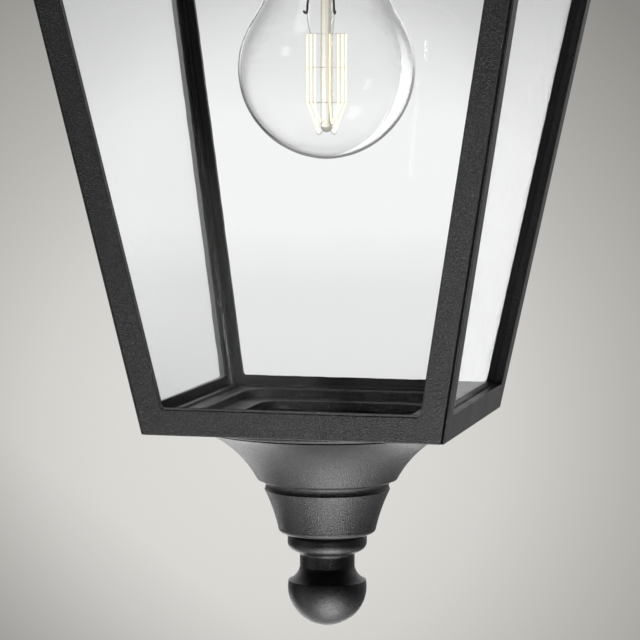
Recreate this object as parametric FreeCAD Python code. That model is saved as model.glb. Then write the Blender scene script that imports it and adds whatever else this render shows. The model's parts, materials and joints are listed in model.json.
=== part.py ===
import FreeCAD
import Part
import math
import os

from FreeCAD import Placement, Rotation, Vector

# A tapered, four-sided wall lantern that hangs from a swan-neck arm. Millimetres.
# The frame's origin is the centre of the wall plate's back face: +Z is up, +Y points into the
# wall, and the lantern hangs on the -Y side. The lantern itself is drawn about its own vertical
# axis, with height 0 at the bottom edge of its four frames, and is moved to its place at the end.

# Tapered body
BASE_HALF = 50.8            # half width of the body across its bottom edge
TAPER = 0.188               # growth of that half width per millimetre of height
BODY_H = 230.0              # height of the four frames

# Frames, one to each side
FRAME_W = 9.0               # width of a stile or rail on the face
FRAME_T = 4.4               # thickness of a frame, square to its face
LIP_T = 2.2                 # lip that stands in front of the seal and the glass
REBATE_W = 3.0              # rebate for the glass behind the stiles
WINDOW_R = 1.7              # corner radius of the window
CORNER_GAP = 0.7            # open mitre between two frames
EDGE_R = 0.4                # softened edges of the face
FLANGE_T = 3.0              # foot and head flanges that the screws go through
FOOT_W = 6.0                # how far the foot flange reaches inwards
HEAD_W = 10.0               # how far the head flange reaches inwards
CHANNEL_H = 11.0            # depth of the channel that takes the top edge of the glass
CHANNEL_T = 2.0             # inner wall of that channel

# Glazing
SEAL_T = 0.6                # seal between lip and glass
GLASS_T = 3.0               # glass
GLASS_PLAY = 0.3            # room round the edge of the glass

# Tray that closes the bottom, with a square well in it
TRAY_T = 3.0                # flange of the tray
TRAY_PLAY = 0.3             # room between the tray and its neighbours
TRAY_BEAD_W = 2.0           # raised bead along the tray's outer edge
TRAY_BEAD_H = 0.8
WELL_WALL = 2.0             # wall of the well
WELL_R = 10.0               # corner radius of the well
WELL_LIP_R = 0.8            # rounded mouth of the well
WELL_LEDGE = 8.8            # ledge inside the well, which the cup's screws sit on
WELL_HOLE_R = 8.0           # corner radius of the hole below the ledge

# Round cup under the tray
CUP_RIM_IN = 5.2            # rim inside the frames' bottom edge
CUP_RIM_W = 17.0            # flat top of the rim, from the rim in to the cavity
CUP_RIM_H = 2.0             # height of the rim
CUP_RIM_EDGE_R = 1.2        # rounded lower edge of the rim
CUP_GROOVE = 0.6            # shallow groove under the rim
CUP_HOLLOW_IN = 2.4         # top of the hollow curve inside the rim
CUP_HOLLOW_SAG = 2.3        # how far that curve is hollowed
CUP_STEP_R = 24.0           # foot of the hollow curve
CUP_STEP_Z = 19.8           # and its depth below the frames' bottom edge
CUP_STEP_FALL = 1.0         # fall of the step in to the band
CUP_BAND_R = 21.5           # hollow band below the step
CUP_BAND_H = 2.6
CUP_BAND_SAG = 0.4          # how far the band is hollowed
CUP_CONE_R = 16.8           # foot of the cone
CUP_CONE_SAG = 0.4          # how far the cone is hollowed
CUP_H = 38.6                # whole depth of the cup
CUP_EDGE_R = 2.0            # rounded foot of the cone
CUP_WALL = 3.4              # wall of the cup

# Ball finial under the cup
BEAD_R = 13.6
BEAD_H = 6.4
BEAD_TOP_R = 1.6            # rounded upper edge of the bead
BEAD_FOOT_R = 3.4           # rounded lower edge of the bead
NECK_R = 9.4
NECK_H = 5.2
NECK_FLARE_H = 1.3          # flare of the neck into the bead
NECK_FLARE_SAG = 0.2        # how far that flare is hollowed
SHOULDER_H = 4.75           # from the neck to the edge where the lower flare meets the ball
SHOULDER_SAG = 0.8          # how far the lower flare is hollowed
BALL_R = 13.5
BALL_RISE = 2.35            # from that edge to the ball's widest line
STUD_R = 3.0                # threaded stud through cup and finial
STUD_REACH = 16.0           # stud inside the finial
STUD_END = 2.0              # stud beyond its nut
STUD_ROOM = 1.0             # room below the stud in the finial's hole
NUT_FLAT = 10.0
NUT_H = 5.0

# Head frame on top of the four frames
HEAD_T = 3.0
HEAD_RIM_T = 5.0
HEAD_RIM_H = 14.0

# Hipped roof
SKIRT_T = 3.0
SKIRT_PLAY = 0.6            # room between the skirt and the head frame
SKIRT_DROP = 4.0            # how far the skirt hangs below the frames' top edge
SKIRT_RISE = 14.0           # from the frames' top edge up to the eave's cove
EAVE_OUT = 6.5              # overhang of the eave beyond the skirt
EAVE_H = 3.0                # upright edge of the eave
COVE_H = 4.0                # sloping underside of the eave
HIP_H = 52.0                # rise of the roof's slopes
ROOF_T = 3.0                # thickness of the roof
NECK_HALF = 26.0            # square neck on the roof
NECK_WALL = 3.0
NECK_RISE = 16.0
ROOF_TOP_OUT = 5.0          # flat margin of the roof's top round the neck
CAP_OUT = 8.0               # overhang of the neck's cap
CAP_EDGE_H = 4.0
CAP_HIP_H = 16.0
CAP_TOP_HALF = 15.0
CAP_PLAY = 0.3

# Nipple: the threaded tube that hangs the lantern and clamps roof, neck and cap
NIPPLE_R = 5.0
NIPPLE_BORE_R = 3.2
NIPPLE_PLAY = 0.3
NIPPLE_NUT_FLAT = 15.0
NIPPLE_NUT_H = 4.0

# Arm and the collar that joins it to the roof's cap
ARM_R = 8.0
ARM_BORE_R = 6.0
ARM_PLAY = 0.15
ARM_RISE = 26.0             # straight run above the collar's seat
ARM_BEND = 42.0             # radius of the swan neck
ARM_DROP = 20.0             # straight run down to the elbow
ARM_ELBOW = 26.0            # radius of the elbow
ARM_RUN = 8.0               # straight run in front of the wall plate
COLLAR_R = 13.0
COLLAR_WAIST_R = 11.2
COLLAR_H = 20.0
COLLAR_FLOOR = 6.0          # threaded floor of the collar

# Wall plate
PLATE_W = 96.0
PLATE_H = 150.0
PLATE_R = 8.0
PLATE_DEPTH = 24.0
PLATE_FOOT_T = 6.0          # broad foot against the wall
PLATE_STEP = 7.0            # step from the foot in to the raised body
PLATE_WALL = 3.0
PLATE_EDGE_R = 3.0
GASKET_W = 4.0
GASKET_T = 2.0
GASKET_PLAY = 0.1
FIXING_SPACING = 112.0      # two wall screws, one above the other
FIXING_HOLE_R = 2.75
FIXING_POST_R = 6.0
ROSETTE_R = 17.0
ROSETTE_H = 6.0
ROSETTE_EDGE_H = 1.8        # upright edge of the rosette
ROSETTE_TOP_W = 2.0         # flat ring at its top, round the arm
ROSETTE_SAG = 0.8           # rounding of the rosette's side
ARM_NUT_FLAT = 24.0
ARM_NUT_H = 5.0
ARM_END = 2.0               # arm beyond its nut
TERMINAL_W = 34.0
TERMINAL_H = 15.0
TERMINAL_T = 12.0
TERMINAL_DROP = 34.0        # below the arm
TERMINAL_SCREW_R = 1.8
TERMINAL_SCREW_H = 1.0
TERMINAL_PITCH = 10.0
TERMINAL_SLOT_W = 1.5       # slots between the three ways
TERMINAL_SLOT_H = 4.0
EARTH_X = 24.0
EARTH_DROP = 16.0
EARTH_BOSS_R = 4.5
EARTH_BOSS_H = 5.0

# Screws: small ones for flanges, larger ones for cup, skirt, collar and earth
SMALL_R = 1.5
SMALL_HEAD_R = 2.7
SMALL_HEAD_H = 1.8
LARGE_R = 2.0
LARGE_HEAD_R = 3.6
LARGE_HEAD_H = 2.4
HEAD_BEVEL = 0.7            # bevel round the heads
HEAD_LAND = 0.2             # upright edge of a countersunk head
FOOT_SCREW_END = 0.8        # tray above the tips of the foot screws
SCREW_PLAY = 0.2            # clearance holes
THREAD_PLAY = 0.05          # threaded holes
FRAME_SCREW_X = 30.0        # foot screws, either side of the middle
HEAD_SCREW_X = 60.0         # head screws, either side of the middle
SKIRT_SCREW_X = 55.0
SKIRT_SCREW_RISE = 8.0      # above the frames' top edge
CUP_SCREW_GRIP = 5.0        # thread in the cup

# Bulb, cap up: pear-shaped clear lamp with an upright cage of filament
BULB_Z = 89.5               # crown of the bulb above the frames' bottom edge
BULB_R = 29.9
BULB_MID_H = 31.0           # crown to widest line
BULB_SHOULDER_H = 53.0      # crown to the shoulder, where the radius is:
BULB_SHOULDER_R = 21.6
BULB_NECK_H = 70.0          # crown to the neck
BULB_NECK_R = 14.4
BULB_GLASS_H = 80.5         # crown to the end of the glass
BULB_GLASS_T = 0.8
CAP_R = 13.2                # screw cap
CAP_H = 24.0
CAP_LAP = 3.0               # cap over the glass
CAP_WALL = 0.6
CAP_SHOULDER = 2.0          # bevel at the cap's closed end
TIP_HOLE_R = 3.8            # hole in that end, filled by the insulator
TIP_FOOT_R = 8.6            # insulator on the cap
TIP_R = 4.8                 # contact on the insulator
TIP_BEVEL = 1.2
TIP_H = 4.0                 # insulator and contact above the cap
STEM_R = 2.0
STEM_FOOT_H = 12.0          # flared foot
STEM_FLARE_SAG = 2.0
STEM_SEAL_H = 0.6           # edge of the foot, sealed to the bulb's glass
STEM_SEAL_DROP = 1.0        # foot below the end of the bulb's glass
STEM_PRESS_R = 4.2
STEM_PRESS_H = 25.0
STEM_PRESS_SAG = 0.3
STEM_TIP_H = 9.0            # crown to the stem's lower end
CAGE_R = 6.6                # filament cage
CAGE_FOOT_R = 3.2
CAGE_TOP_H = 42.0
CAGE_BEND_H = 19.0
CAGE_FOOT_H = 10.5
CAGE_MID_H = 30.8           # middle supports
STRANDS = 8
FILAMENT_R = 0.25
SUPPORT_R = 0.2
LEAD_R = 0.4
LEAD_DROP = 4.0             # heads of the leads below the stem's flared foot

# Lampholder
HOLDER_R = 20.0
HOLDER_SHELL_T = 0.6
HOLDER_PLAY = 0.25
HOLDER_SKIRT = 2.5          # holder below the end of the bulb's cap
HOLDER_FLOOR = 4.0
HOLDER_CAP_SIDE = 6.0
HOLDER_CAP_H = 20.0
HOLDER_CAP_TOP_R = 9.5
HOLDER_CAP_SAG = 2.0        # rounding of the cap's dome
HOLDER_GROOVE_W = 1.5       # groove round the body
HOLDER_GROOVE_T = 1.0
HOLDER_GRIP = 8.0           # nipple inside the holder's cap
CONTACT_R = 3.0
CONTACT_H = 3.0

# Values that follow from those above
ANGLE = math.atan(TAPER)
COS = math.cos(ANGLE)
SIN = math.sin(ANGLE)
SLOPE_H = BODY_H / COS
SEAL_IN = LIP_T
GLASS_OUT = LIP_T + SEAL_T
GLASS_IN = GLASS_OUT + GLASS_T
CHANNEL_IN = GLASS_IN + GLASS_PLAY
REBATE_FOOT = (FLANGE_T - LIP_T * SIN) / COS
REBATE_HEAD = (BODY_H - FLANGE_T - CHANNEL_IN * SIN) / COS
TOP_HALF = BASE_HALF + TAPER * BODY_H
FOOT_IN = BASE_HALF - FRAME_T / COS - FOOT_W
HEAD_IN = TOP_HALF - FRAME_T / COS - HEAD_W
TRAY_Z = FLANGE_T + TRAY_T
TRAY_HALF = BASE_HALF + TAPER * FLANGE_T - GLASS_IN / COS - TRAY_PLAY
WELL_OUT = FOOT_IN - TRAY_PLAY
WELL_HALF = WELL_OUT - WELL_WALL
HOLE_HALF = WELL_HALF - WELL_LEDGE
CUP_RIM_R = BASE_HALF - CUP_RIM_IN
CUP_HOLLOW_R = CUP_RIM_R - CUP_HOLLOW_IN
CUP_MOUTH_R = CUP_RIM_R - CUP_RIM_W
SKIRT_IN = TOP_HALF + SKIRT_PLAY
SKIRT_HALF = SKIRT_IN + SKIRT_T
EAVE_HALF = SKIRT_HALF + EAVE_OUT
COVE_Z = BODY_H + SKIRT_RISE
EAVE_Z = COVE_Z + COVE_H + EAVE_H
ROOF_Z = EAVE_Z + HIP_H
ROOF_TOP_HALF = NECK_HALF + ROOF_TOP_OUT
CAP_Z = ROOF_Z + NECK_RISE
CAP_HALF = NECK_HALF + CAP_OUT
COLLAR_Z = CAP_Z + CAP_EDGE_H + CAP_HIP_H
ARM_Z = COLLAR_Z + COLLAR_FLOOR
SPRING_Z = ARM_Z + ARM_RISE
PLATE_Z = SPRING_Z - ARM_DROP - ARM_ELBOW
PROJECTION = 2 * ARM_BEND + ARM_ELBOW + ARM_RUN + PLATE_DEPTH
GLASS_END_Z = BULB_Z + BULB_GLASS_H
BULB_CAP_Z = GLASS_END_Z - CAP_LAP
TIP_Z = BULB_CAP_Z + CAP_H + TIP_H
HOLDER_Z = BULB_CAP_Z - HOLDER_SKIRT + CAP_LAP
HOLDER_TOP_Z = TIP_Z + CONTACT_H
HOLDER_CAP_Z = HOLDER_TOP_Z + HOLDER_FLOOR
HOLDER_END_Z = HOLDER_CAP_Z + HOLDER_CAP_H
SLANT = math.sqrt(0.5)
QUARTER_SAG = 1 - SLANT     # sag of a quarter circle, for a radius of 1
UP = Vector(0, 0, 1)
AXIS_END = Vector(0, 0, 0)


def half_at(height):
    """Half width of the body's outer faces at a height."""
    return BASE_HALF + TAPER * height


def hip(lower_half, lower_z, upper_half, upper_z):
    """Square solid whose four flat sides slope between two heights."""
    wedge = Part.makeWedge(-lower_half, lower_z, -lower_half, -upper_half, -upper_half,
                           lower_half, upper_z, lower_half, upper_half, upper_half)
    wedge.rotate(AXIS_END, Vector(1, 0, 0), 90)
    return wedge


def tapered(inset, lower_z, upper_z):
    """The body's taper between two heights, its faces moved in square to themselves."""
    reach = inset / COS
    return hip(half_at(lower_z) - reach, lower_z, half_at(upper_z) - reach, upper_z)


def upright_edges(solid):
    """Edges of a solid that run straight up."""
    return [edge for edge in solid.Edges if edge.BoundBox.ZLength > 1e-4
            and edge.BoundBox.XLength < 1e-6 and edge.BoundBox.YLength < 1e-6]


def square(half, lower_z, upper_z, radius=0.0):
    """Square block about the axis, with its upright corners rounded."""
    block = Part.makeBox(2 * half, 2 * half, upper_z - lower_z, Vector(-half, -half, lower_z))
    if radius > 0:
        block = block.makeFillet(radius, upright_edges(block))
    return block


def drum(radius, lower_z, upper_z):
    """Upright cylinder on the axis."""
    return Part.makeCylinder(radius, upper_z - lower_z, Vector(0, 0, lower_z), UP)


def rod(radius, start, end):
    """Round bar between two points."""
    run = end - start
    return Part.makeCylinder(radius, run.Length, start, run)


def point(radius, height):
    """Point of a turned profile."""
    return Vector(radius, 0, height)


def line(start, end):
    """Straight edge of a profile."""
    return Part.LineSegment(start, end).toShape()


def arc(start, middle, end):
    """Circular edge of a profile through three points."""
    return Part.Arc(start, middle, end).toShape()


def bowed(start, end, sag):
    """Arc between two points that leaves their chord by a sag, to the left of its direction."""
    chord = end - start
    side = Vector(-chord.z, 0, chord.x)
    side.normalize()
    return arc(start, (start + end) * 0.5 + side * sag, end)


def eased(points, leave, arrive):
    """Smooth edge through points, with the directions that it leaves and arrives in."""
    curve = Part.BSplineCurve()
    curve.interpolate(points, InitialTangent=leave, FinalTangent=arrive)
    return curve.toShape()


def turned(edges):
    """Solid turned about the axis from a closed profile."""
    face = Part.Face(Part.Wire(Part.__sortEdges__(edges)))
    return face.revolve(AXIS_END, UP, 360)


def turned_lines(points):
    """Solid turned about the axis from a closed profile of straight edges."""
    return turned([line(a, b) for a, b in zip(points, points[1:] + points[:1])])


def nut(flat, bore, height, lower_z):
    """Hexagon nut on the axis."""
    corner = flat / math.sqrt(3)
    turns = [Vector(corner * math.cos(math.radians(60 * i)),
                    corner * math.sin(math.radians(60 * i)), lower_z) for i in range(7)]
    body = Part.Face(Part.makePolygon(turns)).extrude(Vector(0, 0, height))
    return body.cut(drum(bore, lower_z - 1, lower_z + height + 1))


def screw(seat, inwards, shank_r, grip, head_r, head_h):
    """Pan-head screw: its head sits on the seat and its shank goes inwards."""
    body = turned_lines([point(0, -head_h), point(head_r - HEAD_BEVEL, -head_h),
                         point(head_r, HEAD_BEVEL - head_h), point(head_r, 0),
                         point(shank_r, 0), point(shank_r, grip), point(0, grip)])
    body.Placement = Placement(seat, Rotation(UP, inwards))
    return body


def flat_screw(seat, inwards, shank_r, grip, head_r):
    """Countersunk screw: its head is flush with the seat and its shank goes inwards."""
    neck = HEAD_LAND + head_r - shank_r
    body = turned_lines([point(0, 0), point(head_r, 0), point(head_r, HEAD_LAND),
                         point(shank_r, neck), point(shank_r, grip), point(0, grip)])
    body.Placement = Placement(seat, Rotation(UP, inwards))
    return body


def sunk_hole(seat, inwards, shank_r, depth, head_r):
    """Clearance hole for a countersunk screw, from its seat inwards."""
    wide = head_r + SCREW_PLAY
    slim = shank_r + SCREW_PLAY
    hole = turned_lines([point(0, -1), point(wide, -1), point(wide, HEAD_LAND),
                         point(slim, HEAD_LAND + head_r - shank_r), point(slim, depth), point(0, depth)])
    hole.Placement = Placement(seat, Rotation(UP, inwards))
    return hole


def quarter(shape, turns):
    """Copy of a shape of the front side, turned to another side of the lantern."""
    copy = shape.copy()
    copy.rotate(AXIS_END, UP, 90 * turns)
    return copy


def on_each_side(shapes):
    """Copies of front-side shapes on all four sides."""
    return [quarter(shape, turns) for turns in range(4) for shape in shapes]


def face_prism(side_inset, foot, head, inner, outer, radius=0.0):
    """Prism square to the front face. Its outline follows the face's taper: the sides lie at an
    inset from the face's edges, foot and head are measured up the slope, and inner and outer are
    depths behind the face."""
    reach = side_inset / math.cos(math.atan(SIN))
    low = BASE_HALF + SIN * foot - reach
    high = BASE_HALF + SIN * head - reach
    corners = [Vector(-low, foot, -inner), Vector(low, foot, -inner),
               Vector(high, head, -inner), Vector(-high, head, -inner)]
    prism = Part.Face(Part.makePolygon(corners + corners[:1])).extrude(Vector(0, 0, inner - outer))
    if radius > 0:
        prism = prism.makeFillet(radius, upright_edges(prism))
    turn = Rotation(Vector(1, 0, 0), Vector(0, -SIN, COS), Vector(0, -COS, -SIN), "ZXY")
    prism.Placement = Placement(Vector(0, -BASE_HALF, 0), turn)
    return prism


def mitre_wedge(gap):
    """Everything on the front side of the two diagonals, less half of the open mitre."""
    offset = gap / math.sqrt(2)
    reach = 2 * TOP_HALF
    corners = [Vector(0, -offset, -1), Vector(reach, -reach - offset, -1),
               Vector(-reach, -reach - offset, -1), Vector(0, -offset, -1)]
    return Part.Face(Part.makePolygon(corners)).extrude(Vector(0, 0, BODY_H + 2))


def foot_screw_points(height):
    """Places of the front side's two foot screws."""
    y = -(FOOT_IN + FOOT_W / 2)
    return [Vector(-FRAME_SCREW_X, y, height), Vector(FRAME_SCREW_X, y, height)]


def head_screw_points(height):
    """Places of the front side's two head screws."""
    y = -(HEAD_IN + SMALL_HEAD_R + 1)
    return [Vector(-HEAD_SCREW_X, y, height), Vector(HEAD_SCREW_X, y, height)]


def skirt_screw_points(depth):
    """Places of the front side's two skirt screws, at a distance from the axis."""
    height = BODY_H + SKIRT_SCREW_RISE
    return [Vector(-SKIRT_SCREW_X, -depth, height), Vector(SKIRT_SCREW_X, -depth, height)]


def cup_screw_point(height):
    """Place of the front side's cup screw."""
    return Vector(0, -(WELL_HALF - WELL_LEDGE / 2), height)


def make_frame():
    """Cast frame of the front side: lip and rebate for the glass, foot and head flanges, and a
    channel under the head that takes the top edge of the glass."""
    wall = tapered(0, 0, BODY_H).cut(tapered(FRAME_T, -1, BODY_H + 1))
    foot = tapered(0, 0, FLANGE_T).cut(square(FOOT_IN, -1, FLANGE_T + 1))
    head = tapered(0, BODY_H - FLANGE_T, BODY_H).cut(square(HEAD_IN, 0, BODY_H + 1))
    channel = tapered(CHANNEL_IN, BODY_H - CHANNEL_H, BODY_H)
    channel = channel.cut(tapered(CHANNEL_IN + CHANNEL_T, 0, BODY_H + 1))
    frame = wall.fuse([foot, head, channel]).common(mitre_wedge(CORNER_GAP)).removeSplitter()
    frame = frame.cut(face_prism(FRAME_W - REBATE_W, REBATE_FOOT, REBATE_HEAD,
                                 CHANNEL_IN, LIP_T))
    frame = frame.cut(face_prism(FRAME_W, FRAME_W, SLOPE_H - FRAME_W,
                                 FRAME_T + 1, -1, WINDOW_R))
    edges = []
    for edge in frame.Edges:
        ends = [vertex.Point for vertex in edge.Vertexes]
        if all(abs(-end.y - half_at(end.z)) < 1e-4 for end in ends):
            edges.append(edge)
    frame = frame.makeFillet(EDGE_R, edges)
    for place in foot_screw_points(0):
        frame = frame.cut(sunk_hole(place, UP, SMALL_R, FLANGE_T + 1, SMALL_HEAD_R))
    for place in head_screw_points(BODY_H - FLANGE_T - 1):
        frame = frame.cut(Part.makeCylinder(SMALL_R + THREAD_PLAY, FLANGE_T + 2, place, UP))
    return frame


def make_glass():
    """Flat pane of the front side."""
    inset = FRAME_W - REBATE_W + GLASS_PLAY
    return face_prism(inset, REBATE_FOOT + GLASS_PLAY, REBATE_HEAD - GLASS_PLAY,
                      GLASS_IN, GLASS_OUT)


def make_seal():
    """Flat seal between the lip and the pane, flush with the window."""
    inset = FRAME_W - REBATE_W + GLASS_PLAY
    sheet = face_prism(inset, REBATE_FOOT + GLASS_PLAY, REBATE_HEAD - GLASS_PLAY,
                       GLASS_OUT, SEAL_IN)
    return sheet.cut(face_prism(FRAME_W, FRAME_W, SLOPE_H - FRAME_W, GLASS_OUT + 1, 0, WINDOW_R))


def make_tray():
    """Tray that rests on the foot flanges, holds the panes' lower edges and has a stepped well."""
    flange = square(TRAY_HALF, FLANGE_T, TRAY_Z, WELL_WALL)
    bead = square(TRAY_HALF, TRAY_Z, TRAY_Z + TRAY_BEAD_H, WELL_WALL)
    bead = bead.cut(square(TRAY_HALF - TRAY_BEAD_W, 0, TRAY_Z + 2 * TRAY_BEAD_H))
    tray = flange.fuse([bead, square(WELL_OUT, 0, FLANGE_T, WELL_R + WELL_WALL)])
    tray = tray.cut(square(WELL_HALF, FLANGE_T, TRAY_Z + 1, WELL_R)).removeSplitter()
    mouth = [edge for edge in tray.Edges if abs(edge.BoundBox.ZMin - TRAY_Z) < 1e-6
             and edge.BoundBox.ZLength < 1e-6
             and max(abs(v.X) for v in edge.Vertexes) < WELL_HALF + 1e-4
             and max(abs(v.Y) for v in edge.Vertexes) < WELL_HALF + 1e-4]
    tray = tray.makeFillet(WELL_LIP_R, mouth)
    tray = tray.cut(square(HOLE_HALF, -1, FLANGE_T + 1, WELL_HOLE_R))
    holes = [Part.makeCylinder(SMALL_R + THREAD_PLAY, TRAY_T - FOOT_SCREW_END, place, UP)
             for place in foot_screw_points(FLANGE_T)]
    holes.append(sunk_hole(cup_screw_point(FLANGE_T), UP * -1, LARGE_R, FLANGE_T + 1, LARGE_HEAD_R))
    return tray.cut(on_each_side(holes))


def make_cup():
    """Hollow cup: rim, groove, hollow curve, step, hollow band and cone with a rounded foot."""
    foot_z = -CUP_H
    band_z = -CUP_STEP_Z - CUP_STEP_FALL
    cone_z = band_z - CUP_BAND_H
    groove_z = -CUP_RIM_H - CUP_GROOVE
    rim_side = point(CUP_RIM_R, CUP_RIM_EDGE_R - CUP_RIM_H)
    rim_foot = point(CUP_RIM_R - CUP_RIM_EDGE_R, -CUP_RIM_H)
    outside = [
        line(point(CUP_MOUTH_R, 0), point(CUP_RIM_R, 0)),
        line(point(CUP_RIM_R, 0), rim_side),
        bowed(rim_side, rim_foot, QUARTER_SAG * CUP_RIM_EDGE_R),
        line(rim_foot, point(CUP_HOLLOW_R - CUP_GROOVE, -CUP_RIM_H)),
        line(point(CUP_HOLLOW_R - CUP_GROOVE, -CUP_RIM_H), point(CUP_HOLLOW_R, groove_z)),
        bowed(point(CUP_HOLLOW_R, groove_z), point(CUP_STEP_R, -CUP_STEP_Z), -CUP_HOLLOW_SAG),
        line(point(CUP_STEP_R, -CUP_STEP_Z), point(CUP_BAND_R, band_z)),
        bowed(point(CUP_BAND_R, band_z), point(CUP_BAND_R, cone_z), -CUP_BAND_SAG),
        bowed(point(CUP_BAND_R, cone_z), point(CUP_CONE_R, foot_z + CUP_EDGE_R), -CUP_CONE_SAG),
        bowed(point(CUP_CONE_R, foot_z + CUP_EDGE_R), point(CUP_CONE_R - CUP_EDGE_R, foot_z),
              QUARTER_SAG * CUP_EDGE_R),
        line(point(CUP_CONE_R - CUP_EDGE_R, foot_z), point(STUD_R + SCREW_PLAY, foot_z)),
    ]
    floor_z = foot_z + CUP_WALL
    inside = [
        line(point(STUD_R + SCREW_PLAY, foot_z), point(STUD_R + SCREW_PLAY, floor_z)),
        line(point(STUD_R + SCREW_PLAY, floor_z), point(CUP_CONE_R - CUP_WALL, floor_z)),
        line(point(CUP_CONE_R - CUP_WALL, floor_z), point(CUP_BAND_R - CUP_WALL, cone_z)),
        line(point(CUP_BAND_R - CUP_WALL, cone_z), point(CUP_MOUTH_R, -CUP_SCREW_GRIP - 1)),
        line(point(CUP_MOUTH_R, -CUP_SCREW_GRIP - 1), point(CUP_MOUTH_R, 0)),
    ]
    cup = turned(outside + inside)
    holes = [Part.makeCylinder(LARGE_R + THREAD_PLAY, CUP_SCREW_GRIP + 1,
                               cup_screw_point(-CUP_SCREW_GRIP), UP)]
    return cup.cut(on_each_side(holes))


def make_finial():
    """Turned finial: bead, neck and ball, with a blind hole for the stud."""
    bead_z = -CUP_H - BEAD_H
    bead_top = point(BEAD_R - BEAD_TOP_R, -CUP_H)
    bead_foot = point(BEAD_R - BEAD_FOOT_R, bead_z)
    side_top = point(BEAD_R, -CUP_H - BEAD_TOP_R)
    side_foot = point(BEAD_R, bead_z + BEAD_FOOT_R)
    flare_z = bead_z - NECK_FLARE_H
    neck_z = bead_z - NECK_H
    ball_z = neck_z - SHOULDER_H - BALL_RISE
    tip_z = ball_z - BALL_R
    shoulder = point(math.sqrt(BALL_R ** 2 - BALL_RISE ** 2), ball_z + BALL_RISE)
    hole_z = -CUP_H - STUD_REACH - STUD_ROOM
    edges = [
        line(point(STUD_R + THREAD_PLAY, -CUP_H), bead_top),
        bowed(bead_top, side_top, QUARTER_SAG * BEAD_TOP_R),
        line(side_top, side_foot),
        bowed(side_foot, bead_foot, QUARTER_SAG * BEAD_FOOT_R),
        bowed(bead_foot, point(NECK_R, flare_z), -NECK_FLARE_SAG),
        line(point(NECK_R, flare_z), point(NECK_R, neck_z)),
        bowed(point(NECK_R, neck_z), shoulder, -SHOULDER_SAG),
        arc(shoulder, point(BALL_R, ball_z), point(0, tip_z)),
        line(point(0, tip_z), point(0, hole_z)),
        line(point(0, hole_z), point(STUD_R + THREAD_PLAY, hole_z)),
        line(point(STUD_R + THREAD_PLAY, hole_z), point(STUD_R + THREAD_PLAY, -CUP_H)),
    ]
    return turned(edges)


def make_head_frame():
    """Square ring on the frames' head flanges, with the upright rim that the skirt is screwed to."""
    top_z = BODY_H + HEAD_RIM_H
    ring = square(TOP_HALF, BODY_H, BODY_H + HEAD_T).fuse(
        square(TOP_HALF, BODY_H, top_z).cut(square(TOP_HALF - HEAD_RIM_T, 0, top_z + 1)))
    ring = ring.removeSplitter().cut(square(HEAD_IN, 0, top_z + 1))
    holes = [Part.makeCylinder(SMALL_R + SCREW_PLAY, HEAD_T + 2, place, UP)
             for place in head_screw_points(BODY_H - 1)]
    holes += [Part.makeCylinder(LARGE_R + THREAD_PLAY, HEAD_RIM_T + 2, place, Vector(0, 1, 0))
              for place in skirt_screw_points(TOP_HALF + 1)]
    return ring.cut(on_each_side(holes))


def make_roof():
    """Hollow hipped roof: skirt over the head frame, coved eave, four slopes and a flat top."""
    shell = square(SKIRT_HALF, BODY_H - SKIRT_DROP, COVE_Z + COVE_H)
    shell = shell.fuse([hip(SKIRT_HALF, COVE_Z, EAVE_HALF, COVE_Z + COVE_H),
                        square(EAVE_HALF, COVE_Z + COVE_H, EAVE_Z),
                        hip(EAVE_HALF, EAVE_Z, ROOF_TOP_HALF, ROOF_Z)]).removeSplitter()
    slope = (EAVE_HALF - ROOF_TOP_HALF) / HIP_H
    reach = ROOF_T * math.sqrt(1 + slope * slope)
    loft_z = COVE_Z + HEAD_T
    loft_half = EAVE_HALF - reach + (EAVE_Z - loft_z) * slope
    under_half = ROOF_TOP_HALF - reach + ROOF_T * slope
    hollow = square(SKIRT_IN, 0, loft_z).fuse(
        hip(loft_half, loft_z, under_half, ROOF_Z - ROOF_T).common(square(SKIRT_IN, 0, ROOF_Z)))
    roof = shell.cut(hollow)
    roof = roof.cut(drum(NIPPLE_R + NIPPLE_PLAY, ROOF_Z - ROOF_T - 1, ROOF_Z + 1))
    holes = [Part.makeCylinder(LARGE_R + SCREW_PLAY, SKIRT_T + 2, place, Vector(0, 1, 0))
             for place in skirt_screw_points(SKIRT_HALF + 1)]
    return roof.cut(on_each_side(holes))


def make_neck():
    """Square neck between roof and cap."""
    return square(NECK_HALF, ROOF_Z, CAP_Z).cut(square(NECK_HALF - NECK_WALL, 0, CAP_Z + 1))


def make_cap():
    """Small hipped cap that locates inside the neck."""
    top_z = CAP_Z + CAP_EDGE_H
    spigot = NECK_HALF - NECK_WALL - CAP_PLAY
    cap = square(CAP_HALF, CAP_Z, top_z).fuse([hip(CAP_HALF, top_z, CAP_TOP_HALF, COLLAR_Z),
                                               square(spigot, CAP_Z - NECK_WALL, CAP_Z)])
    return cap.removeSplitter().cut(drum(NIPPLE_R + NIPPLE_PLAY, 0, COLLAR_Z + 1))


def make_nipple():
    """Threaded tube from the lampholder up into the collar."""
    foot_z = HOLDER_END_Z - HOLDER_GRIP
    head_z = COLLAR_Z + COLLAR_FLOOR
    return drum(NIPPLE_R, foot_z, head_z).cut(drum(NIPPLE_BORE_R, foot_z - 1, head_z + 1))


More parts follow.
